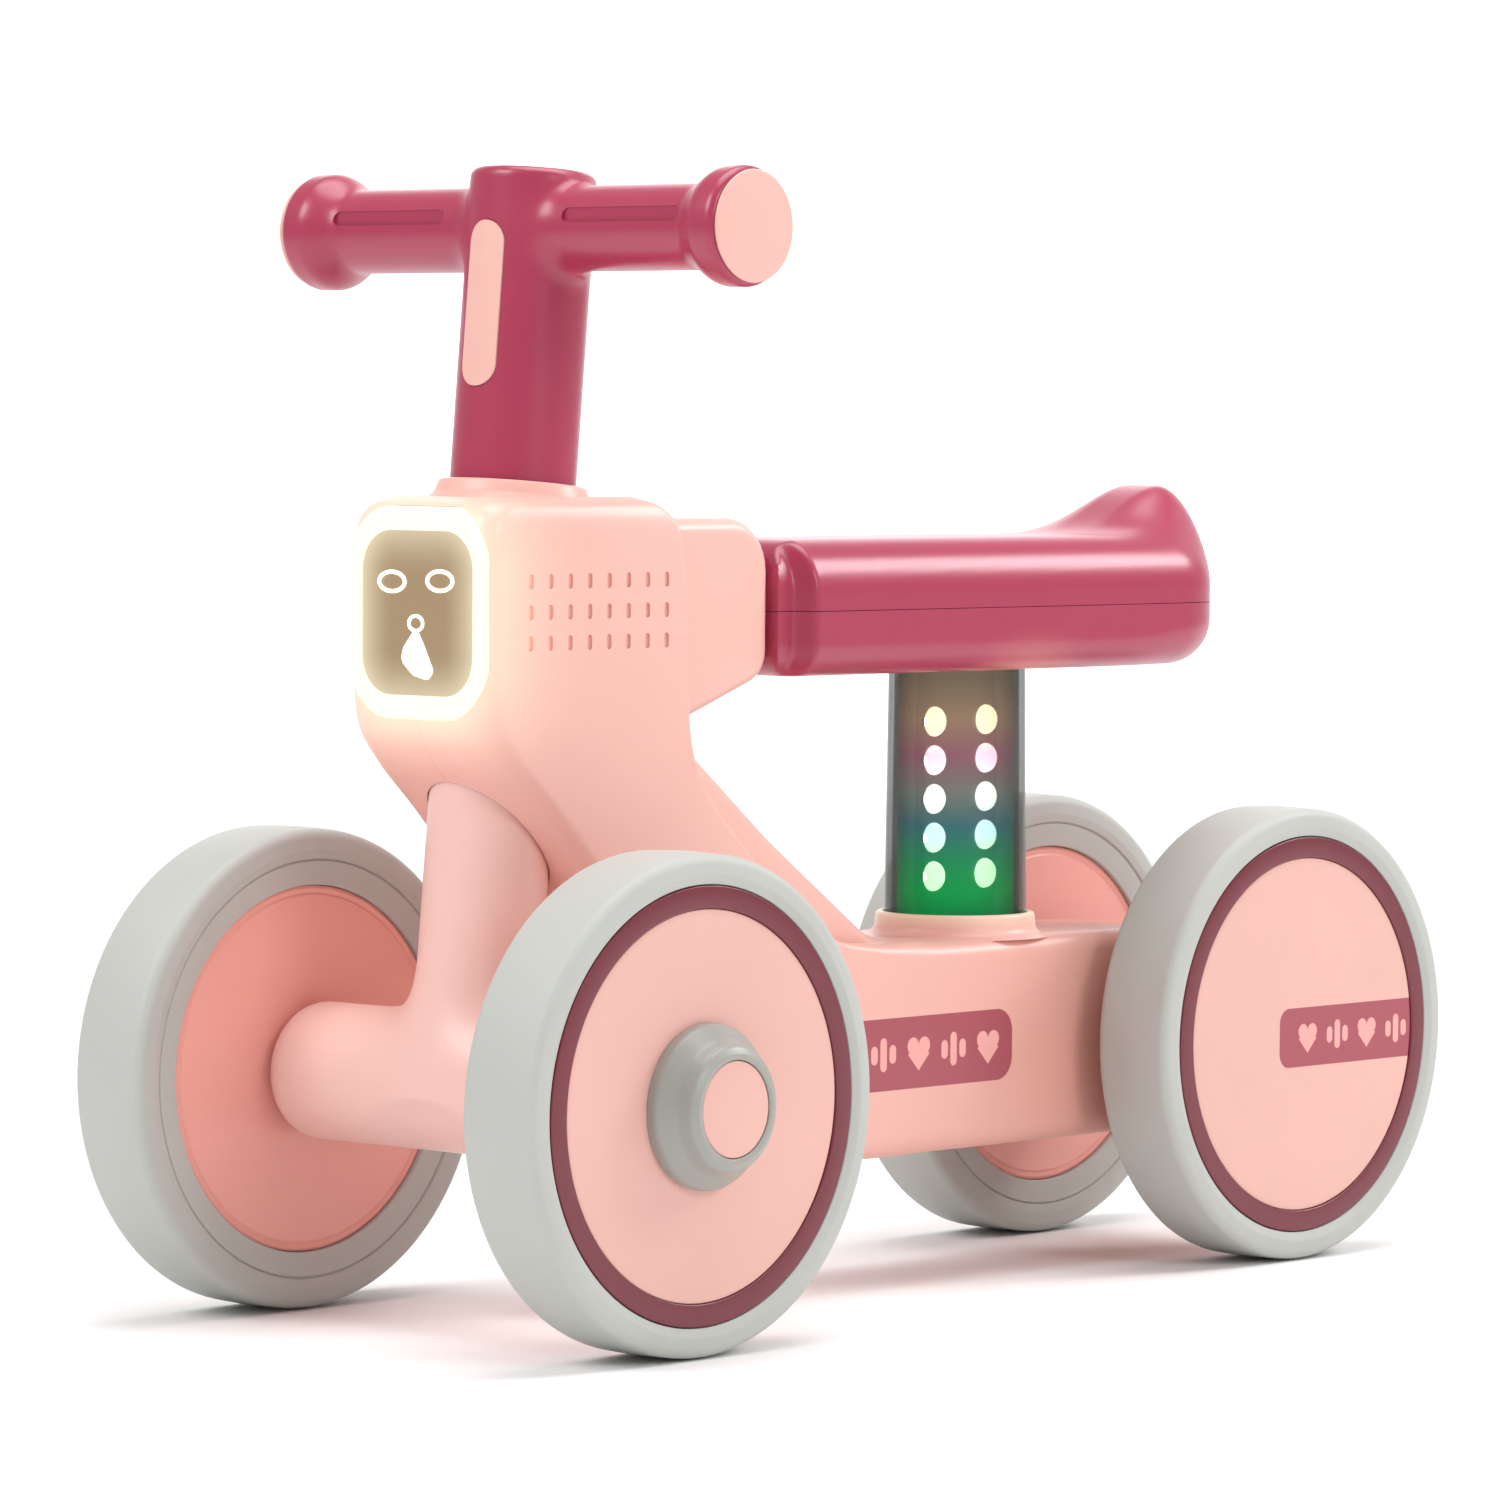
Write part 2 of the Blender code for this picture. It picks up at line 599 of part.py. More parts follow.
def fork(pink, axis):
    end = FRONT_TRACK / 2 + RIM_INNER_PLANE - 0.0035
    soft = 0.0080
    profile = [(0, -end), (HOUSING_RADIUS - soft, -end), (HOUSING_RADIUS - soft * 0.3, -end + soft * 0.3),
               (HOUSING_RADIUS, -end + soft)]
    profile += [(r, -x) for r, x in reversed(profile)]
    housing = turned("fork", profile, ROUND_FACETS, "X")
    column = rod("column", COLUMN_RADIUS, 0, COLUMN_TOP)
    flare = closed_object("flare", [flare_ring(along) for along in (0.0, 0.012, 0.022, 0.032, 0.044, 0.060)])
    made = join(housing, column, flare)
    made = cut(made, rod("axle_hole", AXLE_RADIUS + GAP, -1.2 * end, 1.2 * end, SMALL_FACETS, "X"),
               rod("rod_hole", ROD_RADIUS + GAP, ROD_BOTTOM - GAP, COLUMN_TOP + 0.01, SMALL_FACETS))
    finish(made, pink, axis)
    return end


def flare_ring(along):
    """The column spreads sideways into the axle housing on a quarter-round sweep."""
    top = 0.060
    share = 1 - along / top
    wide = COLUMN_RADIUS + 0.0002 + 0.0200 * share ** 2.4
    deep = COLUMN_RADIUS + 0.0002 + (HOUSING_RADIUS - COLUMN_RADIUS - 0.0006) * share
    return [(wide * math.cos(a), deep * math.sin(a), along)
            for a in (2 * math.pi * i / ROUND_FACETS for i in range(ROUND_FACETS))]


def bushes_and_collar(grey, pink):
    bore = ROD_RADIUS + RUN_GAP
    outer = SLEEVE_BORE - GAP
    low = COLUMN_TOP + 3 * GAP
    high = STEM_BOTTOM - BUSH_LENGTH - 3 * GAP
    for name, start in (("lower_bush", low), ("upper_bush", high)):
        ring = turned(name, [(bore, start), (outer, start), (outer, start + BUSH_LENGTH),
                             (bore, start + BUSH_LENGTH)])
        finish(on_steering_axis(ring), grey)
    top = (HEAD_TOP + COLLAR_HEIGHT) / math.cos(RAKE)
    soft = 0.0014
    bore = STEM_RADIUS + RUN_GAP
    collar = turned("steering_collar", [(bore, HEAD_TOP - 0.010), (COLLAR_RADIUS, HEAD_TOP - 0.010),
                                        (COLLAR_RADIUS, top - soft), (COLLAR_RADIUS - soft, top), (bore, top)])
    head_face = TYRE_RADIUS + HEAD_TOP + GAP
    collar = cut(on_steering_axis(collar), box("below", (-1, -1, -1), (1, 1, head_face)))
    finish(collar, pink)


# Wheels --------------------------------------------------------------------------------------------

def wheel(name, place, side, hub_reach, slots, parent, nut_parent, capped):
    """One wheel about its own X axis, which points away from the bike."""
    tyre_slot, rim_slot, trim_slot, cap_slot, steel = slots
    upright = RAKE if parent else 0
    turn = (side * upright, 0, 0 if side > 0 else math.pi)
    hub = empty("hub_" + name, place, turn, parent)
    radius = TYRE_RADIUS
    bore = radius - TYRE_SECTION
    half = TYRE_WIDTH / 2
    trim_outer = TRIM_INNER + TRIM_WIDTH
    recess = trim_outer + GAP
    tyre = turned("tyre_" + name, [
        (bore, -0.0128), (radius - 0.0080, -half), (radius - 0.0032, -half + 0.0022), (radius, -half + 0.0085),
        (radius, half - 0.0085), (radius - 0.0032, half - 0.0022), (radius - 0.0072, half - 0.0002),
        (recess, TRIM_PLANE), (recess, RIM_OUTER_PLANE), (bore, RIM_OUTER_PLANE)], WHEEL_FACETS, "X")
    finish(tyre, tyre_slot, hub)
    rim_radius = bore - GAP
    axle_room = AXLE_RADIUS + GAP
    pocket = NUT_RADIUS + 0.0015
    pocket_floor = RIM_OUTER_PLANE - NUT_POCKET_DEPTH
    rim = turned("rim_" + name, [
        (axle_room, -hub_reach), (HUB_RADIUS, -hub_reach), (HUB_RADIUS, RIM_INNER_PLANE),
        (rim_radius, RIM_INNER_PLANE), (rim_radius, RIM_OUTER_PLANE), (pocket, RIM_OUTER_PLANE),
        (pocket, pocket_floor), (axle_room, pocket_floor)], WHEEL_FACETS, "X")
    finish(rim, rim_slot, hub)
    floor = RIM_OUTER_PLANE + GAP
    trim = turned("trim_ring_" + name, [
        (TRIM_INNER, floor), (trim_outer, floor), (trim_outer, TRIM_PLANE), (TRIM_INNER, TRIM_PLANE)],
        WHEEL_FACETS, "X")
    finish(trim, trim_slot, hub)
    cover_face = floor + COVER_THICK
    cover_radius = TRIM_INNER - GAP
    cover = rod("wheel_cover_" + name, cover_radius, floor, cover_face, WHEEL_FACETS, "X")
    finish(cover, rim_slot, hub)
    if capped:
        hub_cap(name, cover_face + GAP, (cap_slot, rim_slot), hub)
    nut_low = pocket_floor + GAP
    nut_bore = axle_room / math.cos(math.pi / NUT_SIDES)
    nut = turned("axle_nut_" + name, [(nut_bore, nut_low), (NUT_RADIUS, nut_low), (NUT_RADIUS, nut_low + NUT_THICK),
                                      (nut_bore, nut_low + NUT_THICK)], NUT_SIDES, "X")
    flip = Matrix.Rotation(turn[2], 4, "Z")
    offset = place if nut_parent is None or parent is nut_parent else (0, 0, 0)
    finish(moved(nut, offset, flip), steel, nut_parent)


def hub_cap(name, base, slots, hub):
    """A hollow cap that clips on the wheel cover and holds a flat badge."""
    cap_slot, badge_slot = slots
    top = TRIM_PLANE + CAP_HEIGHT
    seat_floor = top - 0.0022
    wall = 0.0022
    profile = [
        (0, seat_floor), (BADGE_RADIUS + GAP, seat_floor), (BADGE_RADIUS + GAP, top - 0.0004),
        (BADGE_RADIUS + 0.0012, top), (CAP_RIM_RADIUS - 0.0012, top - 0.0002), (CAP_RIM_RADIUS + 0.0006, top - 0.0016),
        (CAP_RIM_RADIUS + 0.0026, top - 0.0042), (CAP_RADIUS - 0.0014, base + 0.0036), (CAP_RADIUS, base + 0.0008),
        (CAP_RADIUS, base), (CAP_RADIUS - wall, base), (CAP_RIM_RADIUS, seat_floor - wall - 0.002),
        (BADGE_RADIUS, seat_floor - wall), (0, seat_floor - wall)]
    finish(turned("hub_cap_" + name, profile, ROUND_FACETS, "X"), cap_slot, hub)
    low = seat_floor + GAP
    high = top - 0.0004
    finish(rod("hub_badge_" + name, BADGE_RADIUS, low, high, ROUND_FACETS, "X"), badge_slot, hub)


# Seat and post -------------------------------------------------------------------------------------

def seat_stations():
    """Distance along, half width, bottom, top, half width of the top and edge rounding of each section."""
    front = FRONT_Y + SEAT_FRONT
    rear = REAR_Y + SEAT_BEHIND_AXLE
    length = rear - front
    base = TYRE_RADIUS + SEAT_HEIGHT - SEAT_THICK
    top = TYRE_RADIUS + SEAT_HEIGHT
    wide = SEAT_WIDTH / 2
    neck = wide - 0.0072
    rise = CREST_RISE
    seam, low, high = tongue_heights()
    rows = [
        (front - TONGUE_LENGTH, TONGUE_WIDTH / 2, low, high, TONGUE_WIDTH / 2 - 0.004, 0.003),
        (front - 0.0001, TONGUE_WIDTH / 2, low, high, TONGUE_WIDTH / 2 - 0.004, 0.003),
        (front, neck - 0.0010, base + 0.0008, top - 0.0009, neck - 0.0120, 0.009),
        (front + 0.0120, neck, base + 0.0002, top - 0.0004, neck - 0.0120, 0.009),
        (front + 0.0145, neck + 0.0030, base, top, neck - 0.0100, 0.010),
    ]
    shape = ((0.20, -0.0036, 0.0, 0.0), (0.35, -0.0026, 0.0, 0.0), (0.50, -0.0014, 0.0, 0.0),
             (0.60, -0.0008, 0.20, 0.0), (0.70, -0.0003, 0.52, 0.0), (0.79, 0.0, 0.83, 0.0),
             (0.87, 0.0, 1.0, 0.0006), (0.925, -0.0030, 0.88, 0.0026), (0.962, -0.0090, 0.48, 0.0064),
             (0.988, -0.0190, -0.12, 0.0120), (1.0, -0.0270, -0.55, 0.0165))
    for share, narrow, lift, sweep in shape:
        crown = wide - 0.0155 - 0.0045 * max(lift, 0)
        half = wide + narrow
        rows.append((front + length * share, half, base + sweep, top + rise * lift, min(crown, half - 0.005),
                     min(0.010, half * 0.35)))
    return rows


def seat_ring(row, upper, inset, floor):
    """The upper or lower half of a section, closed by a straight line along the seam."""
    along, half, bottom, top, crown, edge = row
    seam = tongue_heights()[0] + (GAP / 2 if upper else -GAP / 2)
    half -= inset
    crown = min(crown, half - 0.002)
    if upper:
        top -= inset
        shoulder = min(tongue_heights()[0] + 0.0115, top - 0.003)
        side = [(half, seam), (half, shoulder), (half - 0.0018, shoulder + (top - shoulder) * 0.45),
                ((half + crown) / 2, shoulder + (top - shoulder) * 0.83), (crown, top), (crown * 0.4, top)]
    else:
        bottom += floor
        edge = min(max(edge - inset / 2, 0.002), (seam - bottom) * 0.6)
        side = [(half, seam), (half, bottom + edge), (half - edge * 0.3, bottom + edge * 0.3),
                (half - edge, bottom)]
    ring = side + [(-x, z) for x, z in reversed(side)]
    return [(x, along, z) for x, z in ring]


def seat_top_at(y):
    rows = seat_stations()
    for low, high in zip(rows, rows[1:]):
        if low[0] <= y <= high[0]:
            share = (y - low[0]) / (high[0] - low[0])
            return low[3] + (high[3] - low[3]) * share
    return rows[-1][3]


def seat_half(name, upper, slot):
    rows = seat_stations()
    made = closed_object(name, [seat_ring(row, upper, 0, 0) for row in rows])
    inner_rows = rows[4:-2]
    first, last = inner_rows[0], inner_rows[-1]
    hollow_rows = [(first[0] + WALL, *first[1:])] + inner_rows[1:-1] + [(last[0] - WALL, *last[1:])]
    hollow = closed_object("hollow", [seat_ring(row, upper, WALL, SEAT_FLOOR) for row in hollow_rows])
    open_side = moved(hollow, (0, 0, -2 * GAP if upper else 2 * GAP))
    made = cut(made, open_side)
    screws = seat_screw_places()
    seam = tongue_heights()[0]
    if upper:
        for y in screws:
            pillar = rod("pillar", 0.006, seam + GAP / 2, seat_top_at(y) - WALL / 2, SMALL_FACETS)
            made = join(made, moved(pillar, (0, y, 0)))
            made = cut(made, moved(rod("pilot", SCREW_RADIUS + GAP, seam - 0.01, seam + 0.0125, SMALL_FACETS),
                                   (0, y, 0)))
    else:
        base = TYRE_RADIUS + SEAT_HEIGHT - SEAT_THICK
        tools = [moved(rod("seat_socket", POST_RADIUS + GAP, base - 0.01, base + 0.0036), (0, post_centre(), 0))]
        for y in screws:
            made = join(made, moved(rod("pillar", 0.006, base + SEAT_FLOOR / 2, seam - GAP / 2, SMALL_FACETS),
                                    (0, y, 0)))
            tools.append(moved(rod("shank", SCREW_RADIUS + GAP, base - 0.01, seam + 0.01, SMALL_FACETS), (0, y, 0)))
            tools.append(moved(rod("head", 2 * SCREW_RADIUS + GAP, base - 0.01, base + 0.0040, SMALL_FACETS),
                               (0, y, 0)))
        made = cut(made, *tools)
    finish(made, slot)


def seat_screw_places():
    front = FRONT_Y + SEAT_FRONT
    return front + 0.045, post_centre() + 0.062


def seat_screws(steel):
    base = TYRE_RADIUS + SEAT_HEIGHT - SEAT_THICK
    seam = tongue_heights()[0]
    for name, y in zip(("seat_screw_front", "seat_screw_rear"), seat_screw_places()):
        profile = [(0, base + 0.0008), (2 * SCREW_RADIUS, base + 0.0008), (2 * SCREW_RADIUS, base + 0.0040 - GAP),
                   (SCREW_RADIUS, base + 0.0040 - GAP), (SCREW_RADIUS, seam + 0.0120), (0, seam + 0.0120)]
        finish(moved(turned(name, profile, SMALL_FACETS), (0, y, 0)), steel)


def seat_post(smoke, board_slot, led_slot, pink):
    y = post_centre()
    low = post_bottom() + GAP
    high = TYRE_RADIUS + SEAT_HEIGHT - SEAT_THICK + 0.0036 - GAP
    foot, top = POST_RADIUS + POST_TAPER, POST_RADIUS - POST_TAPER
    tube = turned("post_tube", [(foot - POST_WALL, low), (foot, low), (top, high), (top - POST_WALL, high)])
    finish(moved(tube, (0, y, 0)), smoke)
    half_board = POST_RADIUS - POST_TAPER - POST_WALL - 0.0022
    board = box("post_led_board", (-BOARD_THICK / 2, y - half_board, low),
                (BOARD_THICK / 2, y + half_board, high - 0.004))
    finish(board, board_slot)
    for side, name in ((1, "led_strip_left"), (-1, "led_strip_right")):
        finish(led_strip(name, side, y, half_board), led_slot)
    deck = TYRE_RADIUS + DECK_TOP + GAP
    bore = foot + GAP
    collar = turned("post_collar", [(bore, deck), (foot + 0.0072, deck), (foot + 0.0040, deck + 0.0014),
                                    (foot + 0.0020, deck + 0.0036), (foot + 0.0016, deck + 0.0060),
                                    (foot + 0.0009, deck + 0.0066), (bore, deck + 0.0066)])
    finish(moved(collar, (0, y, 0)), pink)


def led_strip(name, side, y, half_board):
    """A clear moulding with two columns of domes in front of one face of the board."""
    back = BOARD_THICK / 2 + GAP
    front = back + 0.0010
    centre = TYRE_RADIUS + LED_FIRST_ROW + LED_ROW_PITCH * (LED_ROWS - 1) / 2
    tall = LED_ROW_PITCH * LED_ROWS / 2
    near, far = sorted((side * back, side * front))
    strip = box(name, (near, y - half_board + GAP, centre - tall), (far, y + half_board - GAP, centre + tall))
    sunk = back + 0.0005
    domes = []
    for row in range(LED_ROWS):
        for column in (-1, 1):
            profile = [(0, side * sunk), (LED_RADIUS, side * sunk), (LED_RADIUS, side * (front + LED_DOME * 0.2)),
                       (LED_RADIUS * 0.66, side * (front + LED_DOME * 0.8)), (0, side * (front + LED_DOME))]
            dome = turned("dome", profile, DOME_FACETS, "X")
            place = (0, y + column * LED_COLUMN_OFFSET, TYRE_RADIUS + LED_FIRST_ROW + row * LED_ROW_PITCH)
            domes.append(moved(dome, place))
    return join(strip, *domes)


# Deck electrics ------------------------------------------------------------------------------------

def electrics(pink, grey, dark, cell_slot, rose):
    y = FRONT_Y + HATCH_CENTRE
    finish(hatch_box("battery_cover", 0, 0.0003, WALL - 0.0003), pink)
    low = deck_floor() + WALL + GAP
    half_x, half_y = 2 * CELL_RADIUS + 0.0026, CELL_LENGTH / 2 + 0.0030
    high = low + 2 * CELL_RADIUS + 0.0032
    tray = box("battery_box", (-half_x, y - half_y, low), (half_x, y + half_y, high))
    wall = 0.0016
    tray = cut(tray, box("room", (-half_x + wall, y - half_y + wall, low - 0.01),
                         (half_x - wall, y + half_y - wall, high - wall)))
    finish(tray, grey)
    centre = low + CELL_RADIUS + 0.0008
    for side, name in ((1, "battery_left"), (-1, "battery_right")):
        cell = rod(name, CELL_RADIUS, -CELL_LENGTH / 2, CELL_LENGTH / 2, SMALL_FACETS)
        turn = Matrix.Rotation(math.pi / 2, 4, "X")
        finish(moved(cell, (side * (CELL_RADIUS + GAP), y, centre), turn), cell_slot)
    board = box("control_board", (-half_x, y - half_y, high + GAP), (half_x, y + half_y, high + GAP + BOARD_THICK))
    finish(board, dark)
    place = button_place()
    flange = WALL + GAP
    button = turned("power_button", [(0, -0.0012), (BUTTON_RADIUS - 0.0006, -0.0012), (BUTTON_RADIUS, -0.0006),
                                     (BUTTON_RADIUS, flange), (BUTTON_RADIUS + 0.002, flange),
                                     (BUTTON_RADIUS + 0.002, flange + 0.0016), (0, flange + 0.0016)], SMALL_FACETS)
    holder = empty("button_axis", place)
    finish(button, rose, holder)
    base = place[2] + flange + 0.0016 + BUTTON_TRAVEL + GAP
    half = 0.0045
    finish(box("button_switch", (-half, place[1] - half, base), (half, place[1] + half, base + 0.0040)), dark)


def axle(name, half_length, place, steel, parent=None):
    made = rod(name, AXLE_RADIUS, -half_length, half_length, SMALL_FACETS, "X")
    finish(moved(made, place), steel, parent)


# Assembly ------------------------------------------------------------------------------------------

def main():
    clear_scene()
    pink = material("pink_plastic", PINK, 0.42)
    rose = material("rose_plastic", ROSE, 0.36)
    grey = material("grey_plastic", GREY, 0.5)
    tyre_slot = material("grey_foam", GREY, 0.6)
    steel = material("steel", (0.6, 0.6, 0.62), 0.3, 1.0)
    dark = material("circuit", (0.03, 0.09, 0.05), 0.5)
    lit = material("lamp_diffuser", (1.0, 0.95, 0.78), 0.4)
    panel = material("lamp_tint", (0.45, 0.36, 0.23), 0.2)
    smoke = material("smoked_plastic", (0.10, 0.11, 0.10), 0.15)
    board_slot = material("led_board", (0.05, 0.06, 0.05), 0.5)
    led_slot = material("led_lens", (0.95, 0.95, 0.85), 0.2)
    cell_slot = material("battery_sleeve", (0.1, 0.1, 0.12), 0.4)

    body_halves(pink)
    lamp(pink, lit, panel, dark)
    speaker(dark)
    bushes_and_collar(grey, pink)
    electrics(pink, grey, dark, cell_slot, rose)
    seat_half("seat_upper", True, rose)
    seat_half("seat_lower", False, rose)
    seat_screws(steel)
    seat_post(smoke, board_slot, led_slot, pink)

    steering = empty("steering_axis", (0, FRONT_Y, TYRE_RADIUS), (-RAKE, 0, 0))
    handlebar(rose, pink, steel, steering)
    fork_end = fork(pink, steering)
    slots = (tyre_slot, pink, rose, grey, steel)
    axle_end = RIM_OUTER_PLANE - 2 * GAP
    axle("front_axle", FRONT_TRACK / 2 + axle_end, (0, 0, 0), steel, steering)
    axle("rear_axle", REAR_TRACK / 2 + axle_end, (0, REAR_Y, TYRE_RADIUS), steel)
    for side, word in ((1, "left"), (-1, "right")):
        front_place = (side * FRONT_TRACK / 2, 0, 0)
        wheel("front_" + word, front_place, side, FRONT_TRACK / 2 - fork_end - RUN_GAP, slots, steering, steering, True)
        rear_place = (side * REAR_TRACK / 2, REAR_Y, TYRE_RADIUS)
        wheel("rear_" + word, rear_place, side, REAR_TRACK / 2 - HALF_BODY - RUN_GAP, slots, None, None, False)


main()
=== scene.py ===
"""Looks of a toddler's mini balance bike: moulded shells, foam tyres, a lit head and a lit seat post."""
import json
import math

import bmesh
import bpy
import numpy as np
from mathutils import Matrix, Vector


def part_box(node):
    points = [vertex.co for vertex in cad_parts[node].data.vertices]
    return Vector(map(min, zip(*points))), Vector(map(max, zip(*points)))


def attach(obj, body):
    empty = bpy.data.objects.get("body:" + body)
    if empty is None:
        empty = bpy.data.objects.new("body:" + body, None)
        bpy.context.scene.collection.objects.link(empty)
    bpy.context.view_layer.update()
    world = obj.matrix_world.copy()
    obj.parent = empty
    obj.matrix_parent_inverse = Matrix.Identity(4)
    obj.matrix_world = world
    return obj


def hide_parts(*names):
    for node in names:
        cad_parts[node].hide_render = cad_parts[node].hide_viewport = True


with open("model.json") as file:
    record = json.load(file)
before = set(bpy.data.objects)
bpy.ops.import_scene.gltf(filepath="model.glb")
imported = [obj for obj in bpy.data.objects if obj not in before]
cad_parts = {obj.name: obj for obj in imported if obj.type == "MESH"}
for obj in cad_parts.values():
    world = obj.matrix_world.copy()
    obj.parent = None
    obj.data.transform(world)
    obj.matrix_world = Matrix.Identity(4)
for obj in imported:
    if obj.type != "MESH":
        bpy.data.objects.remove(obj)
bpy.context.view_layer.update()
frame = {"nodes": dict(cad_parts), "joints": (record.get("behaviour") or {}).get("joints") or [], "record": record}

bl_info = {
    "name": "Mini balance bike",
    "version": (1, 0, 0),
    "blender": (4, 5, 0),
    "location": "View3D > Sidebar > Bike",
    "description": "Builds the finished surfaces and materials of a toddler's mini balance bike",
    "category": "Object",
}

JOINT_OF = {joint["child"]: joint for joint in frame["joints"]}
FRONT_AXLE = Vector(JOINT_OF["steering"]["pos_m"])
REAR_AXLE_Y = JOINT_OF["wheel_rear_left"]["pos_m"][1]
STEER_AXIS = Vector(JOINT_OF["steering"]["axis"])
RAKE = math.atan2(STEER_AXIS.y, STEER_AXIS.z)
AXLE_HEIGHT = FRONT_AXLE.z
MM = 0.001
FAR = 1.0                    # beyond the whole bike, for cutters
WALL = 3.0 * MM              # moulded shells
GAP = 0.3 * MM               # between neighbouring pieces
SEAM = 0.05 * MM             # half the line between the body halves
SEAT_SEAM = 0.1 * MM         # half the line between the seat halves
NECK_BACK = 109.2            # neck's rear face behind the front axle, in millimetres
SEAT_TOP = 164.6 * MM        # flat of the seat above the axles
BODY_ROUGHNESS = 0.40
COVER_ROUGHNESS = 0.42
COVER_SHADE = 0.9            # wheel covers against the body's pink
BLACK = (0.0, 0.0, 0.0)
NET_MARGIN = 3 * MM          # room round a shape for its grid
CAMERA_PLACE = (1.5118, FRONT_AXLE.y - 1.5370, 0.2816)
CAMERA_TURN = (42.295, 2.776, 0.380)    # round the bike, down and roll, in degrees
LIGHTS = (
    # name, place, size and power
    ("key", (-0.6, -1.7, 1.6), 0.9, 20.0),
    ("left", (2.3, -0.3, 1.3), 0.8, 14.0),
    ("top", (0.1, 0.2, 2.3), 1.7, 38.0),
    ("rear", (0.95, 1.75, 1.45), 0.7, 20.0),
    ("backdrop", (-2.2, 2.4, 3.0), 2.6, 170.0),
)
BIKE_MIDDLE = Vector((0, 0, 0.17))
BACKDROP_MIDDLE = Vector((-3.6, 4.0, 1.6))


# Settings ------------------------------------------------------------------------------------------

def colour_setting(name, description, default):
    return bpy.props.FloatVectorProperty(name=name, description=description, default=default, subtype="COLOR",
                                         size=3, min=0.0, max=1.0)


def length_setting(name, description, default):
    return bpy.props.FloatProperty(name=name, description=description, default=default, unit="LENGTH",
                                   subtype="DISTANCE")


class BikeSizes(bpy.types.PropertyGroup):
    """Sizes of the finished surfaces."""
    facets: bpy.props.IntProperty(name="Facets", description="Facets round a wheel", default=144, min=32)
    fine_step: length_setting("Fine step", "Grid step of the blended fork and handlebar", 1.25 * MM)
    armpit: length_setting("Armpit", "Blend between the fork's column and its axle housing", 24 * MM)
    grip_blend: length_setting("Grip blend", "Blend between the stem and its grips", 9 * MM)
    panel_edge: length_setting("Panel edge", "Rounding of the side panels' rear edge", 2.2 * MM)
    core_edge: length_setting("Core edge", "Rounding of the narrow core's edges", 5.0 * MM)
    slot_depth: length_setting("Slot depth", "Depth of the sound slots", 0.9 * MM)
    lamp_border: length_setting("Lamp border", "Width of the glowing ring beside the window", 5.0 * MM)
    groove: length_setting("Tyre groove", "Depth of the line on a tyre's inner wall", 0.7 * MM)


class BikeColours(bpy.types.PropertyGroup):
    """Colours of the finishes, in linear light."""
    pink: colour_setting("Light pink", "Body, fork and wheel covers", (0.83, 0.465, 0.405))
    rose: colour_setting("Dark rose", "Handlebar, seat and trim rings", (0.38, 0.030, 0.078))
    rim: colour_setting("Rim", "Inner faces of the wheels", (0.86, 0.385, 0.33))
    trim: colour_setting("Trim", "Ring round a wheel cover", (0.155, 0.011, 0.024))
    foam: colour_setting("Foam", "Tyres", (0.47, 0.48, 0.45))
    hub: colour_setting("Hub", "Front hub caps", (0.33, 0.33, 0.30))
    print: colour_setting("Print", "Capsule prints", (0.36, 0.062, 0.085))
    motif: colour_setting("Motif", "Shapes in the prints", (0.80, 0.36, 0.33))
    lamp: colour_setting("Lamp", "Glow of the lamp ring", (1.0, 0.93, 0.72))
    window: colour_setting("Window", "Tinted lamp window", (0.36, 0.25, 0.14))
    smoke: colour_setting("Smoke", "Clear dark post", (0.030, 0.036, 0.032))


def sizes():
    return bpy.context.scene.bike_sizes


def colours():
    return bpy.context.scene.bike_colours


# Shader maths --------------------------------------------------------------------------------------

class Signal:
    """A node's output that takes part in Python expressions."""

    def __init__(self, paint, socket):
        self.paint = paint
        self.socket = socket

    def _with(self, operation, *others):
        return self.paint.maths(operation, self, *others)

    def __add__(self, other):
        return self._with("ADD", other)

    def __sub__(self, other):
        return self._with("SUBTRACT", other)

    def __mul__(self, other):
        return self._with("MULTIPLY", other)

    def __truediv__(self, other):
        return self._with("DIVIDE", other)

    def __rsub__(self, other):
        return self.paint.maths("SUBTRACT", other, self)

    def __abs__(self):
        return self._with("ABSOLUTE")

    def __pow__(self, other):
        return self._with("POWER", other)

    __radd__ = __add__
    __rmul__ = __mul__

    def at_least(self, other):
        return self._with("MAXIMUM", other)

    def at_most(self, other):
        return self._with("MINIMUM", other)

    def held(self):
        """Kept between 0 and 1."""
        return self.at_least(0.0).at_most(1.0)

    def root(self):
        return self.at_least(0.0) ** 0.5


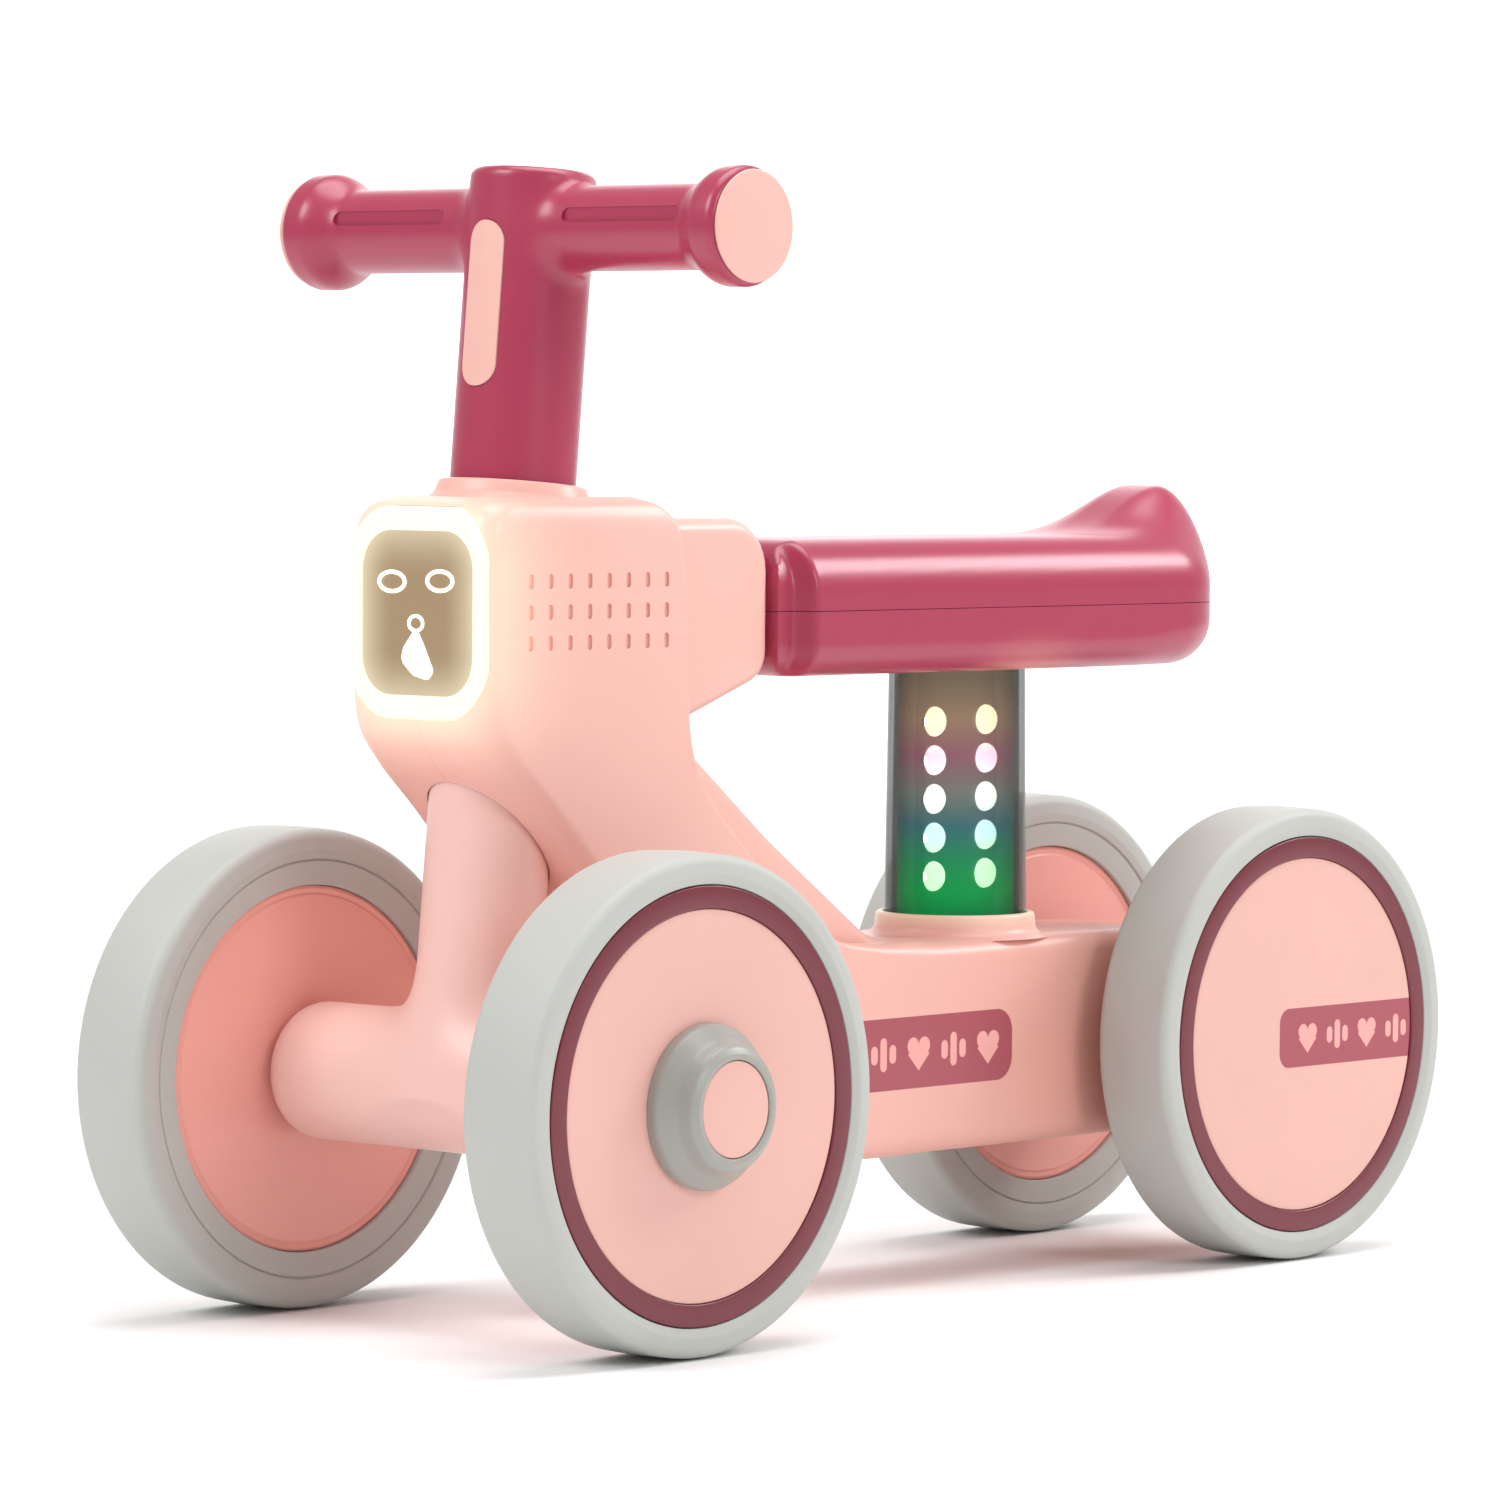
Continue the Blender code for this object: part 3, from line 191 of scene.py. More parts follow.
class Paint:
    """A material whose finish is built from nodes."""

    def __init__(self, name, roughness=0.4, **constants):
        self.material = bpy.data.materials.new(name)
        self.material.use_nodes = True
        self.tree = self.material.node_tree
        self.shader = self.tree.nodes["Principled BSDF"]
        self.set("Roughness", roughness)
        for key, value in constants.items():
            self.set(key.replace("_", " "), value)

    def node(self, kind, settings=(), sockets=()):
        made = self.tree.nodes.new(kind)
        for key, value in dict(settings).items():
            if key == "stops":
                self.stops(made.color_ramp, value)
            else:
                setattr(made, key, value)
        for key, value in dict(sockets).items():
            self.feed(made.inputs[key], value)
        return made

    @staticmethod
    def stops(ramp, values):
        while len(ramp.elements) < len(values):
            ramp.elements.new(1.0)
        for element, (place, colour) in zip(ramp.elements, values):
            element.position = place
            element.color = (*colour, 1.0)

    def feed(self, socket, value):
        if isinstance(value, Signal):
            self.tree.links.new(value.socket, socket)
        elif socket.type == "RGBA" and len(value) == 3:
            socket.default_value = (*value, 1.0)
        else:
            socket.default_value = value

    def set(self, name, value):
        self.feed(self.shader.inputs[name], value)

    def maths(self, operation, *values):
        made = self.node("ShaderNodeMath", {"operation": operation}, enumerate(values))
        return Signal(self, made.outputs[0])

    def place(self):
        """The point's own place as three signals and one vector."""
        where = self.node("ShaderNodeTexCoord").outputs["Object"]
        split = self.node("ShaderNodeSeparateXYZ", (), {"Vector": Signal(self, where)})
        return [Signal(self, split.outputs[i]) for i in range(3)] + [Signal(self, where)]

    def noise(self, where, scale, detail=2.0):
        made = self.node("ShaderNodeTexNoise", (), {"Vector": where, "Scale": scale, "Detail": detail})
        return Signal(self, made.outputs["Fac"])

    def mix(self, factor, low, high):
        made = self.node("ShaderNodeMix", {"data_type": "RGBA"}, {0: factor, 6: low, 7: high})
        return Signal(self, made.outputs[2])

    def ramp(self, factor, values):
        made = self.node("ShaderNodeValToRGB", {"stops": values}, {"Fac": factor})
        return Signal(self, made.outputs["Color"])

    def bump(self, height, depth, strength=0.5):
        made = self.node("ShaderNodeBump", (), {"Height": height, "Distance": depth, "Strength": strength})
        self.set("Normal", Signal(self, made.outputs["Normal"]))

    def rounded_box(self, across, up, half_wide, half_tall, corner):
        """Distance outside a rounded rectangle, negative inside it."""
        side = (abs(across) - (half_wide - corner)).at_least(0.0)
        top = (abs(up) - (half_tall - corner)).at_least(0.0)
        return (side * side + top * top).root() - corner

    def inside(self, distance, soft=0.25 * MM):
        return (0.5 - distance / soft).held()


def tint(colour, factor):
    return tuple(min(channel * factor, 1.0) for channel in colour)


def moulded(name, colour, roughness=0.38, mottle=0.05, coat=0.12):
    """Injection-moulded plastic: faint flow clouds, a fine spark texture and a soft gloss."""
    paint = Paint(name, roughness)
    where = paint.place()[3]
    cloud = paint.noise(where, 18.0, 3.0)
    paint.clouded = paint.mix(cloud, tint(colour, 1 - mottle), tint(colour, 1 + mottle))
    paint.set("Base Color", paint.clouded)
    grain = paint.noise(where, 1500.0, 1.0)
    paint.set("Roughness", roughness - 0.04 + 0.08 * grain)
    paint.set("Coat Weight", coat)
    paint.set("Coat Roughness", 0.25)
    paint.bump(grain, 0.04 * MM, 0.25)
    return paint


# Mesh tools ----------------------------------------------------------------------------------------

def new_object(name, mesh):
    made = bpy.data.objects.new(name, mesh)
    bpy.context.scene.collection.objects.link(made)
    return made


def skin(name, rings, closed_path=False, triangles=False):
    """Skin a list of equal rings; the first and last ring are capped unless the path closes on itself."""
    shape = bmesh.new()
    loops = [[shape.verts.new(point) for point in ring] for ring in rings]
    pairs = list(zip(loops, loops[1:]))
    if closed_path:
        pairs.append((loops[-1], loops[0]))
    count = len(loops[0])
    for low, high in pairs:
        for i in range(count):
            j = (i + 1) % count
            shape.faces.new((low[i], low[j], high[j], high[i]))
    if not closed_path:
        shape.faces.new(loops[0][::-1])
        shape.faces.new(loops[-1])
    bmesh.ops.remove_doubles(shape, verts=shape.verts, dist=1e-6)
    loose = [edge for edge in shape.edges if not edge.link_faces]
    bmesh.ops.delete(shape, geom=loose, context="EDGES")
    bmesh.ops.recalc_face_normals(shape, faces=shape.faces)
    if triangles:
        bmesh.ops.triangulate(shape, faces=shape.faces)
    mesh = bpy.data.meshes.new(name)
    shape.to_mesh(mesh)
    shape.free()
    return new_object(name, mesh)


def filleted(corners, steps=6):
    """Round each (x, y, radius) corner of a closed outline with an arc of steps + 1 points."""
    points = []
    count = len(corners)
    for i, (x, y, radius) in enumerate(corners):
        here = Vector((x, y))
        before = Vector(corners[i - 1][:2]) - here
        after = Vector(corners[(i + 1) % count][:2]) - here
        if radius <= 0:
            points.append(tuple(here))
            continue
        first, second = before.normalized(), after.normalized()
        half = first.angle(second) / 2
        reach = min(radius / math.tan(half), 0.49 * before.length, 0.49 * after.length)
        arc = reach * math.tan(half)
        centre = here + (first + second).normalized() * (arc / math.sin(half))
        start, end = here + first * reach - centre, here + second * reach - centre
        sweep = start.angle_signed(end)
        for step in range(steps + 1):
            angle = -sweep * step / steps
            turn = Matrix.Rotation(angle, 2)
            points.append(tuple(centre + turn @ start))
    return points


def round_rectangle(half_wide, half_tall, radius, steps):
    """Outline round the origin, from the lower left corner and clockwise."""
    signs = ((-1, -1), (-1, 1), (1, 1), (1, -1))
    return filleted([(x * half_wide, y * half_tall, radius) for x, y in signs], steps)


def inset_corners(corners, inset):
    """Move a clockwise outline's corners inwards, and keep its round corners concentric."""
    made = []
    count = len(corners)
    for i, (x, y, radius) in enumerate(corners):
        before, after = corners[i - 1], corners[(i + 1) % count]
        first = Vector((x - before[0], y - before[1])).normalized()
        second = Vector((after[0] - x, after[1] - y)).normalized()
        out = Vector((first.y + second.y, -first.x - second.x)).normalized()
        reach = inset / max(out.dot(Vector((first.y, -first.x))), 0.4)
        convex = first.x * second.y - first.y * second.x < 0
        kept = 0 if radius <= 0 else max(radius + (-inset if convex else inset), 0.1 * MM)
        made.append((x + out.x * reach, y + out.y * reach, kept))
    return made


def turned(name, profile, facets=None, centre=(0, 0, 0), side=1, axis="X"):
    """Turn a closed outline of (radius, distance) points about an axis through centre."""
    facets = facets or sizes().facets
    rings = []
    for step in range(facets):
        angle = 2 * math.pi * step / facets
        c, s = math.cos(angle), math.sin(angle)
        if axis == "X":
            rings.append([(centre[0] + side * h, centre[1] + r * c, centre[2] + r * s) for r, h in profile])
        else:
            rings.append([(centre[0] + r * c, centre[1] + r * s, centre[2] + h) for r, h in profile])
    return skin(name, rings, closed_path=True)


def surface_net(name, field, low, high, step):
    """Mesh the zero surface of a distance field given on numpy arrays."""
    axes = [np.arange(a, b + step, step) for a, b in zip(low, high)]
    grid = np.meshgrid(*axes, indexing="ij")
    values = field(*grid)
    shape = np.array(values.shape) - 1
    total = np.zeros((*shape, 3))
    count = np.zeros(shape)
    corners = [(i, j, k) for i in (0, 1) for j in (0, 1) for k in (0, 1)]
    part = {c: values[c[0]:c[0] + shape[0], c[1]:c[1] + shape[1], c[2]:c[2] + shape[2]] for c in corners}
    for corner in corners:
        for axis in range(3):
            if corner[axis]:
                continue
            other = tuple(v + (n == axis) for n, v in enumerate(corner))
            a, b = part[corner], part[other]
            crossing = (a < 0) != (b < 0)
            share = np.where(crossing, a / np.where(crossing, a - b, 1), 0)
            point = np.array(corner, float)[None, None, None, :] + np.zeros((*shape, 3))
            point[..., axis] += share
            total += point * crossing[..., None]
            count += crossing
    used = count > 0
    index = -np.ones(shape, int)
    index[used] = np.arange(used.sum())
    cells = np.argwhere(used)
    verts = cells + total[used] / count[used][:, None]
    verts = verts * step + np.array(low)
    for _ in range(3):
        value = field(*verts.T)
        slope = np.stack([(field(*(verts + d).T) - value) / 1e-5 for d in np.eye(3) * 1e-5], axis=1)
        verts -= slope * (value / np.maximum((slope ** 2).sum(1), 1e-9))[:, None]
    faces = []
    for axis in range(3):
        u, v = [n for n in range(3) if n != axis]
        first = np.moveaxis(values, axis, 0)[:-1]
        second = np.moveaxis(values, axis, 0)[1:]
        crossing = np.moveaxis((first < 0) != (second < 0), 0, axis)
        inner = np.argwhere(crossing)
        good = (inner[:, u] > 0) & (inner[:, v] > 0) & (inner[:, u] < shape[u]) & (inner[:, v] < shape[v])
        inner = inner[good]
        quads = []
        for du, dv in ((0, 0), (-1, 0), (-1, -1), (0, -1)):
            cell = inner.copy()
            cell[:, u] += du
            cell[:, v] += dv
            quads.append(index[tuple(cell.T)])
        faces += np.stack(quads, axis=1).tolist()
    mesh = bpy.data.meshes.new(name)
    mesh.from_pydata(verts.tolist(), [], faces)
    made = new_object(name, mesh)
    tidy_normals(made)
    return made


def tidy_normals(made, merge=1e-6):
    shape = bmesh.new()
    shape.from_mesh(made.data)
    bmesh.ops.remove_doubles(shape, verts=shape.verts, dist=merge)
    bmesh.ops.recalc_face_normals(shape, faces=shape.faces)
    shape.to_mesh(made.data)
    shape.free()


def bake(made):
    """Replace an object's mesh by its evaluated one and drop its modifiers."""
    depsgraph = bpy.context.evaluated_depsgraph_get()
    mesh = bpy.data.meshes.new_from_object(made.evaluated_get(depsgraph))
    made.modifiers.clear()
    made.data = mesh
    return made


def combine(made, others, operation):
    for other in others:
        change = made.modifiers.new("combine", "BOOLEAN")
        change.operation = operation
        change.solver = "MANIFOLD"
        change.object = other
        bake(made)
        bpy.data.objects.remove(other, do_unlink=True)
    return made


def cut(made, *others):
    return combine(made, others, "DIFFERENCE")


def join(made, *others):
    return combine(made, others, "UNION")


def copy_of(made, name):
    return new_object(name, made.data.copy())


def moved(made, offset=(0, 0, 0), turn=None):
    matrix = Matrix.Translation(Vector(offset))
    made.data.transform(matrix @ turn if turn else matrix)
    return made


def rod(name, radius, low, high, facets=64, centre=(0, 0, 0), axis="Z"):
    return turned(name, [(0, low), (radius, low), (radius, high), (0, high)], facets, centre, 1, axis)


def block(name, low, high):
    (x0, y0, z0), (x1, y1, z1) = low, high
    return skin(name, [[(x0, y0, z), (x1, y0, z), (x1, y1, z), (x0, y1, z)] for z in (z0, z1)])


def repeated(name, seed, across, up, columns, rows):
    """Set a small seed mesh out on a grid in Y and Z with a node tree, and return it as one plain mesh."""
    tree = bpy.data.node_groups.new(name, "GeometryNodeTree")
    face = tree.interface
    face.new_socket("Geometry", in_out="OUTPUT", socket_type="NodeSocketGeometry")
    wanted = {"Width": ("NodeSocketFloat", across), "Height": ("NodeSocketFloat", up),
              "Columns": ("NodeSocketInt", columns), "Rows": ("NodeSocketInt", rows),
              "Seed": ("NodeSocketObject", seed), "Finish": ("NodeSocketMaterial", None)}
    sockets = {}
    for key, (kind, _) in wanted.items():
        sockets[key] = face.new_socket(key, in_out="INPUT", socket_type=kind)
    source = tree.nodes.new("NodeGroupInput")
    grid = tree.nodes.new("GeometryNodeMeshGrid")
    stand = tree.nodes.new("GeometryNodeTransform")
    pick = tree.nodes.new("GeometryNodeObjectInfo")
    spread = tree.nodes.new("GeometryNodeInstanceOnPoints")
    real = tree.nodes.new("GeometryNodeRealizeInstances")
    finish = tree.nodes.new("GeometryNodeSetMaterial")
    out = tree.nodes.new("NodeGroupOutput")
    stand.inputs["Rotation"].default_value = (math.pi / 2, 0, math.pi / 2)
    links = (
        (source.outputs["Width"], grid.inputs["Size X"]),
        (source.outputs["Height"], grid.inputs["Size Y"]),
        (source.outputs["Columns"], grid.inputs["Vertices X"]),
        (source.outputs["Rows"], grid.inputs["Vertices Y"]),
        (grid.outputs["Mesh"], stand.inputs["Geometry"]),
        (stand.outputs["Geometry"], spread.inputs["Points"]),
        (source.outputs["Seed"], pick.inputs["Object"]),
        (pick.outputs["Geometry"], spread.inputs["Instance"]),
        (spread.outputs["Instances"], real.inputs["Geometry"]),
        (real.outputs["Geometry"], finish.inputs["Geometry"]),
        (source.outputs["Finish"], finish.inputs["Material"]),
        (finish.outputs["Geometry"], out.inputs["Geometry"]),
    )
    for start, end in links:
        tree.links.new(start, end)
    made = new_object(name, bpy.data.meshes.new(name))
    change = made.modifiers.new("repeat", "NODES")
    change.node_group = tree
    for key, (_, value) in wanted.items():
        if value is not None:
            change[sockets[key].identifier] = value
    bake(made)
    bpy.data.objects.remove(seed, do_unlink=True)
    return made


def finish_piece(made, paint, body, nodes=(), sharp=35.0):
    made.data.materials.clear()
    made.data.materials.append(paint.material)
    made.data.shade_smooth()
    made.data.set_sharp_from_angle(angle=math.radians(sharp))
    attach(made, body)
    if nodes:
        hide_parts(*nodes)
    return made


def smooth_rows(rows, steps):
    """Pass a smooth curve through rows of numbers."""
    table = np.array(rows)
    made = []
    for i in range(len(table) - 1):
        p0, p1, p2, p3 = table[max(i - 1, 0)], table[i], table[i + 1], table[min(i + 2, len(table) - 1)]
        for step in range(steps):
            t = step / steps
            made.append(0.5 * (2 * p1 + (p2 - p0) * t + (2 * p0 - 5 * p1 + 4 * p2 - p3) * t ** 2
                               + (3 * p1 - p0 - 3 * p2 + p3) * t ** 3))
    made.append(table[-1])
    return made


def from_front(back, up):
    return FRONT_AXLE.y + back * MM, AXLE_HEIGHT + up * MM


def from_rear(back, up):
    return REAR_AXLE_Y + back * MM, AXLE_HEIGHT + up * MM


def on_steering_axis(made):
    return moved(made, FRONT_AXLE, Matrix.Rotation(-RAKE, 4, "X"))


def wheel_places():
    """Name, centre and outward side of each wheel."""
    for body, joint in JOINT_OF.items():
        if body.startswith("wheel_"):
            yield body.removeprefix("wheel_"), Vector(joint["pos_m"]), 1 if joint["pos_m"][0] > 0 else -1


# Pieces --------------------------------------------------------------------------------------------

def body_rows():
    """Upper point, lower point, half width, lower rounding and upper rounding along the body."""
    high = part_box("body_left")[1]
    full = high.x
    head = (high.z - AXLE_HEIGHT) / MM
    edge = sizes().panel_edge
    rows = [
        (*from_front(48.0, head), *from_front(-14.0, head), full - 5.6 * MM, 8 * MM, 7 * MM),
        (*from_front(55.6, head - 2.7), *from_front(-20.4, head - 2.6), full - 2.2 * MM, 8 * MM, 6 * MM),
        (*from_front(60.8, head - 8.9), *from_front(-23.5, head - 8.4), full - 0.4 * MM, 7 * MM, 4.5 * MM),
        (*from_front(62.6, head - 19.4), *from_front(-24.4, head - 18.4), full, 6.5 * MM, 3 * MM),
        (*from_front(63.3, 138), *from_front(-24.4, 138), full, 6.5 * MM, edge),
        (*from_front(64.6, 114), *from_front(-24.2, 112), full, 8 * MM, edge),
        (*from_front(66.6, 100.5), *from_front(-16.5, 98), full, 10 * MM, edge),
        (*from_front(71.2, 90.5), *from_front(0.0, 82), full, 10 * MM, edge),
        (*from_front(79.6, 80.0), *from_front(18.0, 64), full, 9 * MM, edge),
        (*from_front(97.5, 63.3), *from_front(42.0, 40.5), full, 8 * MM, edge),
        (*from_front(112.5, 51.0), *from_front(66.0, 17), full, 8 * MM, edge),
        (*from_front(131.5, 39.4), *from_front(92.0, -8.5), full, 8 * MM, edge),
        (*from_front(152.0, 36.4), *from_front(118.0, -27.5), full, 8 * MM, 4 * MM),
        (*from_front(172.0, 36.0), *from_front(145.0, -32.3), full, 8 * MM, 6 * MM),
        (*from_front(192.0, 35.2), *from_front(192.0, -32.5), full, 8 * MM, 6 * MM),
        (*from_rear(-64, 35.2), *from_rear(-64, -32.5), full, 8 * MM, 6 * MM),
        (*from_rear(0, 32.7), *from_rear(0, -32.5), full, 8 * MM, 6 * MM),
        (*from_rear(17, 27), *from_rear(17, -27.5), full - 1 * MM, 8 * MM, 6 * MM),
        (*from_rear(27, 18), *from_rear(27, -18), full - 5 * MM, 7 * MM, 6 * MM),
        (*from_rear(31.5, 8), *from_rear(31.5, -8), full - 13 * MM, 4 * MM, 4 * MM),
    ]
    return rows


def body_loft(name, inset, steps):
    rows = smooth_rows(body_rows(), steps)
    if inset:
        rows = rows[1:-1]
    rings = []
    for upper_y, upper_z, lower_y, lower_z, half, lower_edge, upper_edge in rows:
        lower = Vector((lower_y, lower_z))
        line = Vector((upper_y, upper_z)) - lower
        span = line.length - 2 * inset
        across = line.normalized()
        start = lower + across * inset
        wide = half - inset
        corners = [(-wide, 0, lower_edge), (-wide, span, upper_edge), (wide, span, upper_edge),
                   (wide, 0, lower_edge)]
        arcs = 2 if inset else 6
        rings.append([(x, *(start + across * d)) for x, d in filleted(corners, arcs)])
    return skin(name, rings, triangles=True)


def core_corners():
    """Side outline of the core that shows as the seat's neck and the down tube's spine, clockwise."""
    points = [
        (5, 172, 0), (NECK_BACK, 171.6, 17), (NECK_BACK, 122.5, 11), (66, 107.2, 3),
        (70, 103.4, 8), (112, 70.5, 60), (158, 38.6, 18), (178, 34.2, 2),
        (160, 12, 4), (100, 25, 4), (30, 70, 4), (12, 100, 4),
    ]
    return [(*from_front(back, up), radius * MM) for back, up, radius in points]


def core_prism(name, inset, arcs):
    half = 23 * MM - inset
    edge = sizes().core_edge
    rings = []
    for side in (1, -1):
        angles = [math.pi / 2 * i / arcs for i in range(arcs + 1)]
        for angle in (reversed(angles) if side > 0 else angles):
            depth = half - edge + edge * math.sin(angle)
            corners = inset_corners(core_corners(), inset + edge * (1 - math.cos(angle)))
            rings.append([(side * depth, y, z) for y, z in filleted(corners, 8)])
    return skin(name, rings, triangles=True)


def lamp_rows():
    """Low corner, high corner, centre and size of the lamp ring."""
    low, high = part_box("lamp_ring")
    return low, high, (low + high) / 2, high - low


def lamp_outline(inset):
    """The ring narrows more above and below the window than beside it, so the window is nearly square."""
    centre, size = lamp_rows()[2:]
    share = max(inset, 0) / sizes().lamp_border
    corner = 16.5 * MM - 0.9 * inset
    wide = size.x / 2 - inset
    tall = size.z / 2 - inset - 2.2 * MM * share
    return [(centre.x + x, centre.z + z) for x, z in round_rectangle(wide, tall, corner, 12)]


def lamp_prism(name, inset, start, end):
    rings = [[(x, y, z) for x, z in lamp_outline(inset)] for y in (start, end)]
    return skin(name, rings)


def slot_cutters():
    """Upright capsules for the sound slots on both sides of the head."""
    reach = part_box("body_left")[1].x
    wide, tall = 1.0 * MM, 2.3 * MM
    columns, rows, pitch, row_pitch = 8, 3, 8.5 * MM, 9.3 * MM
    outline = round_rectangle(wide, tall, wide, 4)
    made = []
    for side in (1, -1):
        ends = (side * (reach - sizes().slot_depth), side * (reach + 2 * MM))
        seed = skin("slot_seed", [[(x, y, z) for y, z in outline] for x in sorted(ends)])
        grid = repeated("slots", seed, pitch * (columns - 1), row_pitch * (rows - 1), columns, rows)
        y, z = from_front(23.2, 144)
        made.append(moved(grid, (0, y, z)))
    return made


def screw_places():
    """Where the halves are screwed together, on the bike's right side."""
    front = [(-10, 158), (50, 158), (42, 84), (92, 42), (150, -14), (176, 22)]
    rear = [(-30, 18), (-30, -18)]
    return [from_front(*place) for place in front] + [from_rear(*place) for place in rear]


class BIKE_OT_body(bpy.types.Operator):
    """Moulded body halves with the head, neck, down tube and deck"""
    bl_idname = "bike.body"
    bl_label = "Body"

    def execute(self, context):
        shell = join(body_loft("shell", 0, 7), core_prism("core", 0, 6))
        hollow = join(body_loft("hollow", WALL, 1), core_prism("core_hollow", WALL, 1))
        sleeve = on_steering_axis(rod("sleeve", 22 * MM, 56 * MM, 190 * MM, 48))
        post_low, post_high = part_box("post_tube")
        post = (post_low + post_high) / 2
        post_radius = (post_high.x - post_low.x) / 2
        socket = rod("socket", post_radius + WALL, post_low.z - 4 * MM, post.z, 48, (0, post.y, 0))
        boss = rod("boss", 10 * MM, -FAR, FAR, 32, (0, REAR_AXLE_Y, AXLE_HEIGHT), "X")
        lamp_low, lamp_high = lamp_rows()[:2]
        tray = lamp_prism("tray", 0.5 * MM - WALL, lamp_low.y - 0.01, lamp_high.y + 1 * MM)
        hollow = cut(hollow, sleeve, socket, boss, tray)
        shell = cut(shell, hollow)
        above_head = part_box("body_left")[1].z - AXLE_HEIGHT + 30 * MM
        lower_bore, sleeve_bore, upper_bore = 19.4 * MM, 17 * MM, 19.9 * MM
        bore_foot, lower_step, upper_step = 10 * MM, 96.6 * MM, 171.4 * MM
        bore = [(0, bore_foot), (lower_bore, bore_foot), (lower_bore, lower_step),
                (sleeve_bore, lower_step), (sleeve_bore, upper_step), (upper_bore, upper_step),
                (upper_bore, above_head), (0, above_head)]
        tools = [on_steering_axis(turned("bore", bore, 64, axis="Z")),
                 rod("post_hole", post_radius + GAP, post_low.z - GAP, post.z, 64, (0, post.y, 0)),
                 rod("axle_hole", 4.3 * MM, -FAR, FAR, 26, (0, REAR_AXLE_Y + 0.1 * MM, AXLE_HEIGHT), "X"),
                 lamp_prism("lamp_hole", -0.15 * MM, lamp_low.y - 0.01, lamp_high.y + 6 * MM)]
        hatch_low, hatch_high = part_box("battery_cover")
        grow = Vector((GAP, GAP, 10 * MM))
        tools.append(block("hatch", hatch_low - grow, hatch_high + grow))
        button_low, button_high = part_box("power_button")
        button = (button_low + button_high) / 2
        tools.append(rod("button_hole", 6.3 * MM, button_low.z - 5 * MM, button_low.z + 8 * MM, 48,
                         (0, button.y + 0.05 * MM, 0)))
        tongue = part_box("seat_lower")[0].y
        tools.append(block("mouth", (-19 * MM, tongue - 2 * MM, AXLE_HEIGHT + 127 * MM),
                           (19 * MM, tongue + 40 * MM, AXLE_HEIGHT + 163 * MM)))
        tools += slot_cutters()
        right = -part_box("body_left")[1].x
        for y, z in screw_places():
            tools.append(rod("counterbore", 3.4 * MM, right - 2 * MM, right + 2.2 * MM, 32, (0, y, z), "X"))
        shell = cut(shell, *tools)
        finish = body_paint()
        for side, name in ((1, "left"), (-1, "right")):
            half = copy_of(shell, "shell_" + name)
            near, far = sorted((side * SEAM, side * FAR))
            combine(half, [block("keep", (near, -FAR, -FAR), (far, FAR, FAR))], "INTERSECT")
            finish_piece(half, finish, "root", ["body_" + name], 28)
        bpy.data.objects.remove(shell, do_unlink=True)
        self.screws(right)
        return {"FINISHED"}

    @staticmethod
    def screws(right):
        """Cross-head screws sunk in the right half."""
        face = right + 0.9 * MM
        steel = metal("screw_zinc", (0.62, 0.62, 0.60), 0.32)
        radius, deep, cross, slit = 3.1 * MM, 1.2 * MM, 2.2 * MM, 0.35 * MM
        outline = filleted([(0, deep, 0), (radius, deep, 0), (radius, 0.35 * MM, 0.5 * MM), (0, 0, 0)], 4)
        heads = None
        for y, z in screw_places():
            head = turned("head", outline, 32, (face, y, z))
            for wide, tall in ((cross, slit), (slit, cross)):
                head = cut(head, block("cross", (face - 1 * MM, y - wide, z - tall),
                                       (face + 0.7 * MM, y + wide, z + tall)))
            heads = join(heads, head) if heads else head
        heads.name = "body_screws"
        finish_piece(heads, steel, "root")


def metal(name, colour, roughness):
    """Plated metal with fine uneven streaks in its gloss."""
    paint = Paint(name, roughness, Metallic=1.0)
    where = paint.place()[3]
    smear = paint.noise(where, 900.0, 3.0)
    paint.set("Base Color", paint.mix(smear, tint(colour, 0.88), tint(colour, 1.08)))
    paint.set("Roughness", roughness - 0.08 + 0.16 * smear)
    return paint


def body_paint():
    """Light pink plastic with a painted warm glow round the lamp, painted shade that deepens the pink low down
    toward the rear of the deck, and a capsule print on each side of the deck.
    """
    shade = colours()
    paint = moulded("body_pink", shade.pink, BODY_ROUGHNESS)
    x, y, z = paint.place()[:3]
    low, _, centre, size = lamp_rows()
    print_y, print_z = from_front(172, 1.0)
    across, up = y - print_y, z - print_z
    capsule = paint.rounded_box(across, up, 46 * MM, 11.5 * MM, 7.5 * MM)
    on_side = paint.inside(28 * MM - abs(x), 0.5 * MM)
    bar = (1.6 * MM, 5.4 * MM, 3.0 * MM)
    motif = hearts_and_bars(paint, across, up, (-34, -17, 0, 17, 34), 5.4 * MM, bar, 4.4)
    printed = paint.inside(capsule) * on_side
    ink = paint.mix(paint.inside(motif), tuple(shade.print), tuple(shade.motif))
    # painted shade: the pink darkens to a deeper coral low on the down tube and deck and toward the rear
    painted_shade_share = ((0.175 - z) / 0.10).held() * ((y + 0.07) / 0.14).held()
    deep = paint.mix(painted_shade_share * 0.75, paint.clouded, (0.70, 0.325, 0.265))
    paint.set("Base Color", paint.mix(printed, deep, ink))
    # painted light: a warm emission spread over the shell round the lamp ring and behind it, for the lamp's light
    # on the head
    off_lamp = paint.rounded_box(x - centre.x, z - centre.z, size.x / 2, size.z / 2, 20 * MM).at_least(0.0)
    behind = (y - low.y).at_least(0.0)
    spread = (off_lamp * off_lamp + behind * behind * 0.35).root()
    painted_glow = (1.0 - spread / (27 * MM)).held() ** 2.0
    paint.set("Emission Color", paint.mix(painted_glow, BLACK, (1.0, 0.80, 0.48)))
    paint.set("Emission Strength", 0.42)
    return paint


